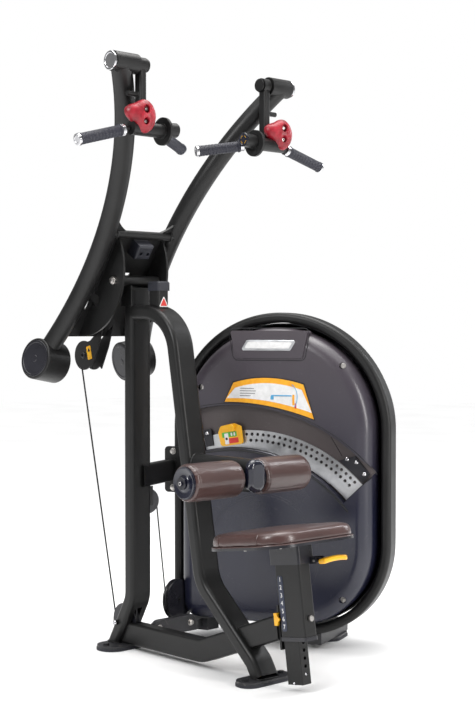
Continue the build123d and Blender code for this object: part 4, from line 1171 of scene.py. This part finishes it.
def make_seams():
    """Parting lines of the shroud's front and the moulded ring below the window."""
    bm = bmesh.new()
    face = TOWER @ Matrix.Translation((0, 0, SHROUD_FRONT))
    for radius, start, end, thick in ((0.6965, -14, 47.5, 0.0012), (0.5335, -13, 50.5, 0.0034)):
        line = arc_points(radius, start, end, 60)
        tube(bm, [face @ Vector((*p, 0.0001)) for p in line], thick, 8)
    add_piece("shroud_seams", bm, [seam_black], "frame")
    bm = bmesh.new()
    for radius in (0.198, 0.206):
        ring = axis_frame(TOWER @ Vector((0.373, 0.333, SHROUD_FRONT)), TOWER_OUT)
        tube(bm, ring_points(ring, radius, 120), 0.0007, 6, True)
    add_piece("moulded_ring", bm, [shroud_plastic], "frame")
    bm = bmesh.new()
    seam = [(0.611, 0.737), (0.631, 0.705), (0.651, 0.673)]
    tube(bm, [TOWER @ Vector((*p, 0.0703)) for p in seam], 0.0012, 8)
    add_piece("panel_seam", bm, [seam_black], "frame")


def make_bracket():
    """Black end clamp of the quadrant, over its plain CAD plate."""
    bm = bmesh.new()
    face = TOWER @ Matrix.Translation((0, 0, 0.0765))
    spots = ((0.554, 35.5), (0.598, 38.7), (0.588, 45.8), (0.554, 46.2))
    corners = [arc_points(r, a, a, 1, PLATE_CENTRE)[0] for r, a in spots]
    prism(bm, rounded(corners[::-1], 0.006), 0.0, 0.0025, face, 0, 0.0008)
    add_piece("clamp_plate", bm, [plastic], "frame")


def make_selector():
    """Selector carriage: a yellow finger plate with coloured fields, on a sliding shoe."""
    bm = bmesh.new()
    shoe = arc_points(0.500, -12, -5, 8, PLATE_CENTRE) + arc_points(0.543, -5, -12, 8, PLATE_CENTRE)
    prism(bm, shoe, 0.0755, 0.084, TOWER, 0, 0.001)
    turn = -8.5
    centre = arc_points(0.534, turn, turn, 1, PLATE_CENTRE)[0]
    place = TOWER @ Matrix.Translation((*centre, 0.084)) @ Matrix.Rotation(-radians(turn), 4, "Z")
    plate = rounded([(-0.041, -0.036), (0.043, -0.036), (0.044, 0.026), (0.018, 0.039), (-0.034, 0.034),
                     (-0.046, 0.012)], 0.009)
    prism(bm, plate, 0.0, 0.006, place, 1, 0.002)
    for x, y, wide, tall, material in (
        (-0.004, 0.002, 0.028, 0.009, 3), (0.004, -0.020, 0.024, 0.009, 4),
        (-0.016, -0.012, 0.0075, 0.019, 2), (0.004, 0.002, 0.003, 0.006, 2), (0.015, 0.002, 0.003, 0.006, 2),
    ):
        lift = 0.0066 if material == 2 else 0.0063
        prism(bm, rounded(rectangle(x, y, wide, tall), 0.0026), 0.0058, lift, place, material)
    knob = place @ Matrix.Translation((0.010, 0.024, 0.006))
    turned(bm, [(0, 0), (0.011, 0), (0.0095, 0.004), (0.0125, 0.010), (0.0125, 0.0135), (0.0105, 0.0152),
                (0, 0.0155)], knob, 36, 1)
    pin = place @ Matrix.Translation((-0.016, -0.012, 0.006))
    turned(bm, [(0, 0), (0.0042, 0), (0.0042, 0.002), (0.003, 0.003), (0, 0.0032)], pin, 24, 5)
    add_piece("selector_plate", bm, [plastic, yellow, print_white, print_green, print_red, seam_black],
              "carriage", ("selector",))


# ---- cable and pulleys

SPAN_START = Vector((0, 0.0487, 0.0778))
SPAN_END = Vector((0, 0.2536, 0.9983))
CABLE_R = 0.0029


def make_cable():
    """Free span of the cable as a straight tube, and the rubber boot at its upper end."""
    bm = bmesh.new()
    count = 90
    tube(bm, [SPAN_START.lerp(SPAN_END, k / count) for k in range(count + 1)], CABLE_R, 14)
    span = add_piece("cable_span", bm, [cable_jacket], None, ("cable_upper",))
    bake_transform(span)
    bm = bmesh.new()
    along = SPAN_END - SPAN_START
    place = axis_frame(SPAN_END - along.normalized() * 0.030, along)
    turned(bm, [(0.0026, -0.004), (0.0034, -0.004), (0.0046, 0.002), (0.0052, 0.012), (0.0062, 0.029),
                (0.0026, 0.029), (0.0026, -0.004)], place, 28)
    add_piece("cable_boot", bm, [rubber], "cable_end")


make_camera()
make_studio()
make_seat()
make_scale()
make_lever()
for side, name in ((-1, "left"), (1, "right")):
    make_roller(side, name)
    make_handle(side, name)
make_roller_ends()
make_arm_details()
make_frame_details()
make_placard()
make_badge()
make_seams()
make_bracket()
make_selector()
make_cable()
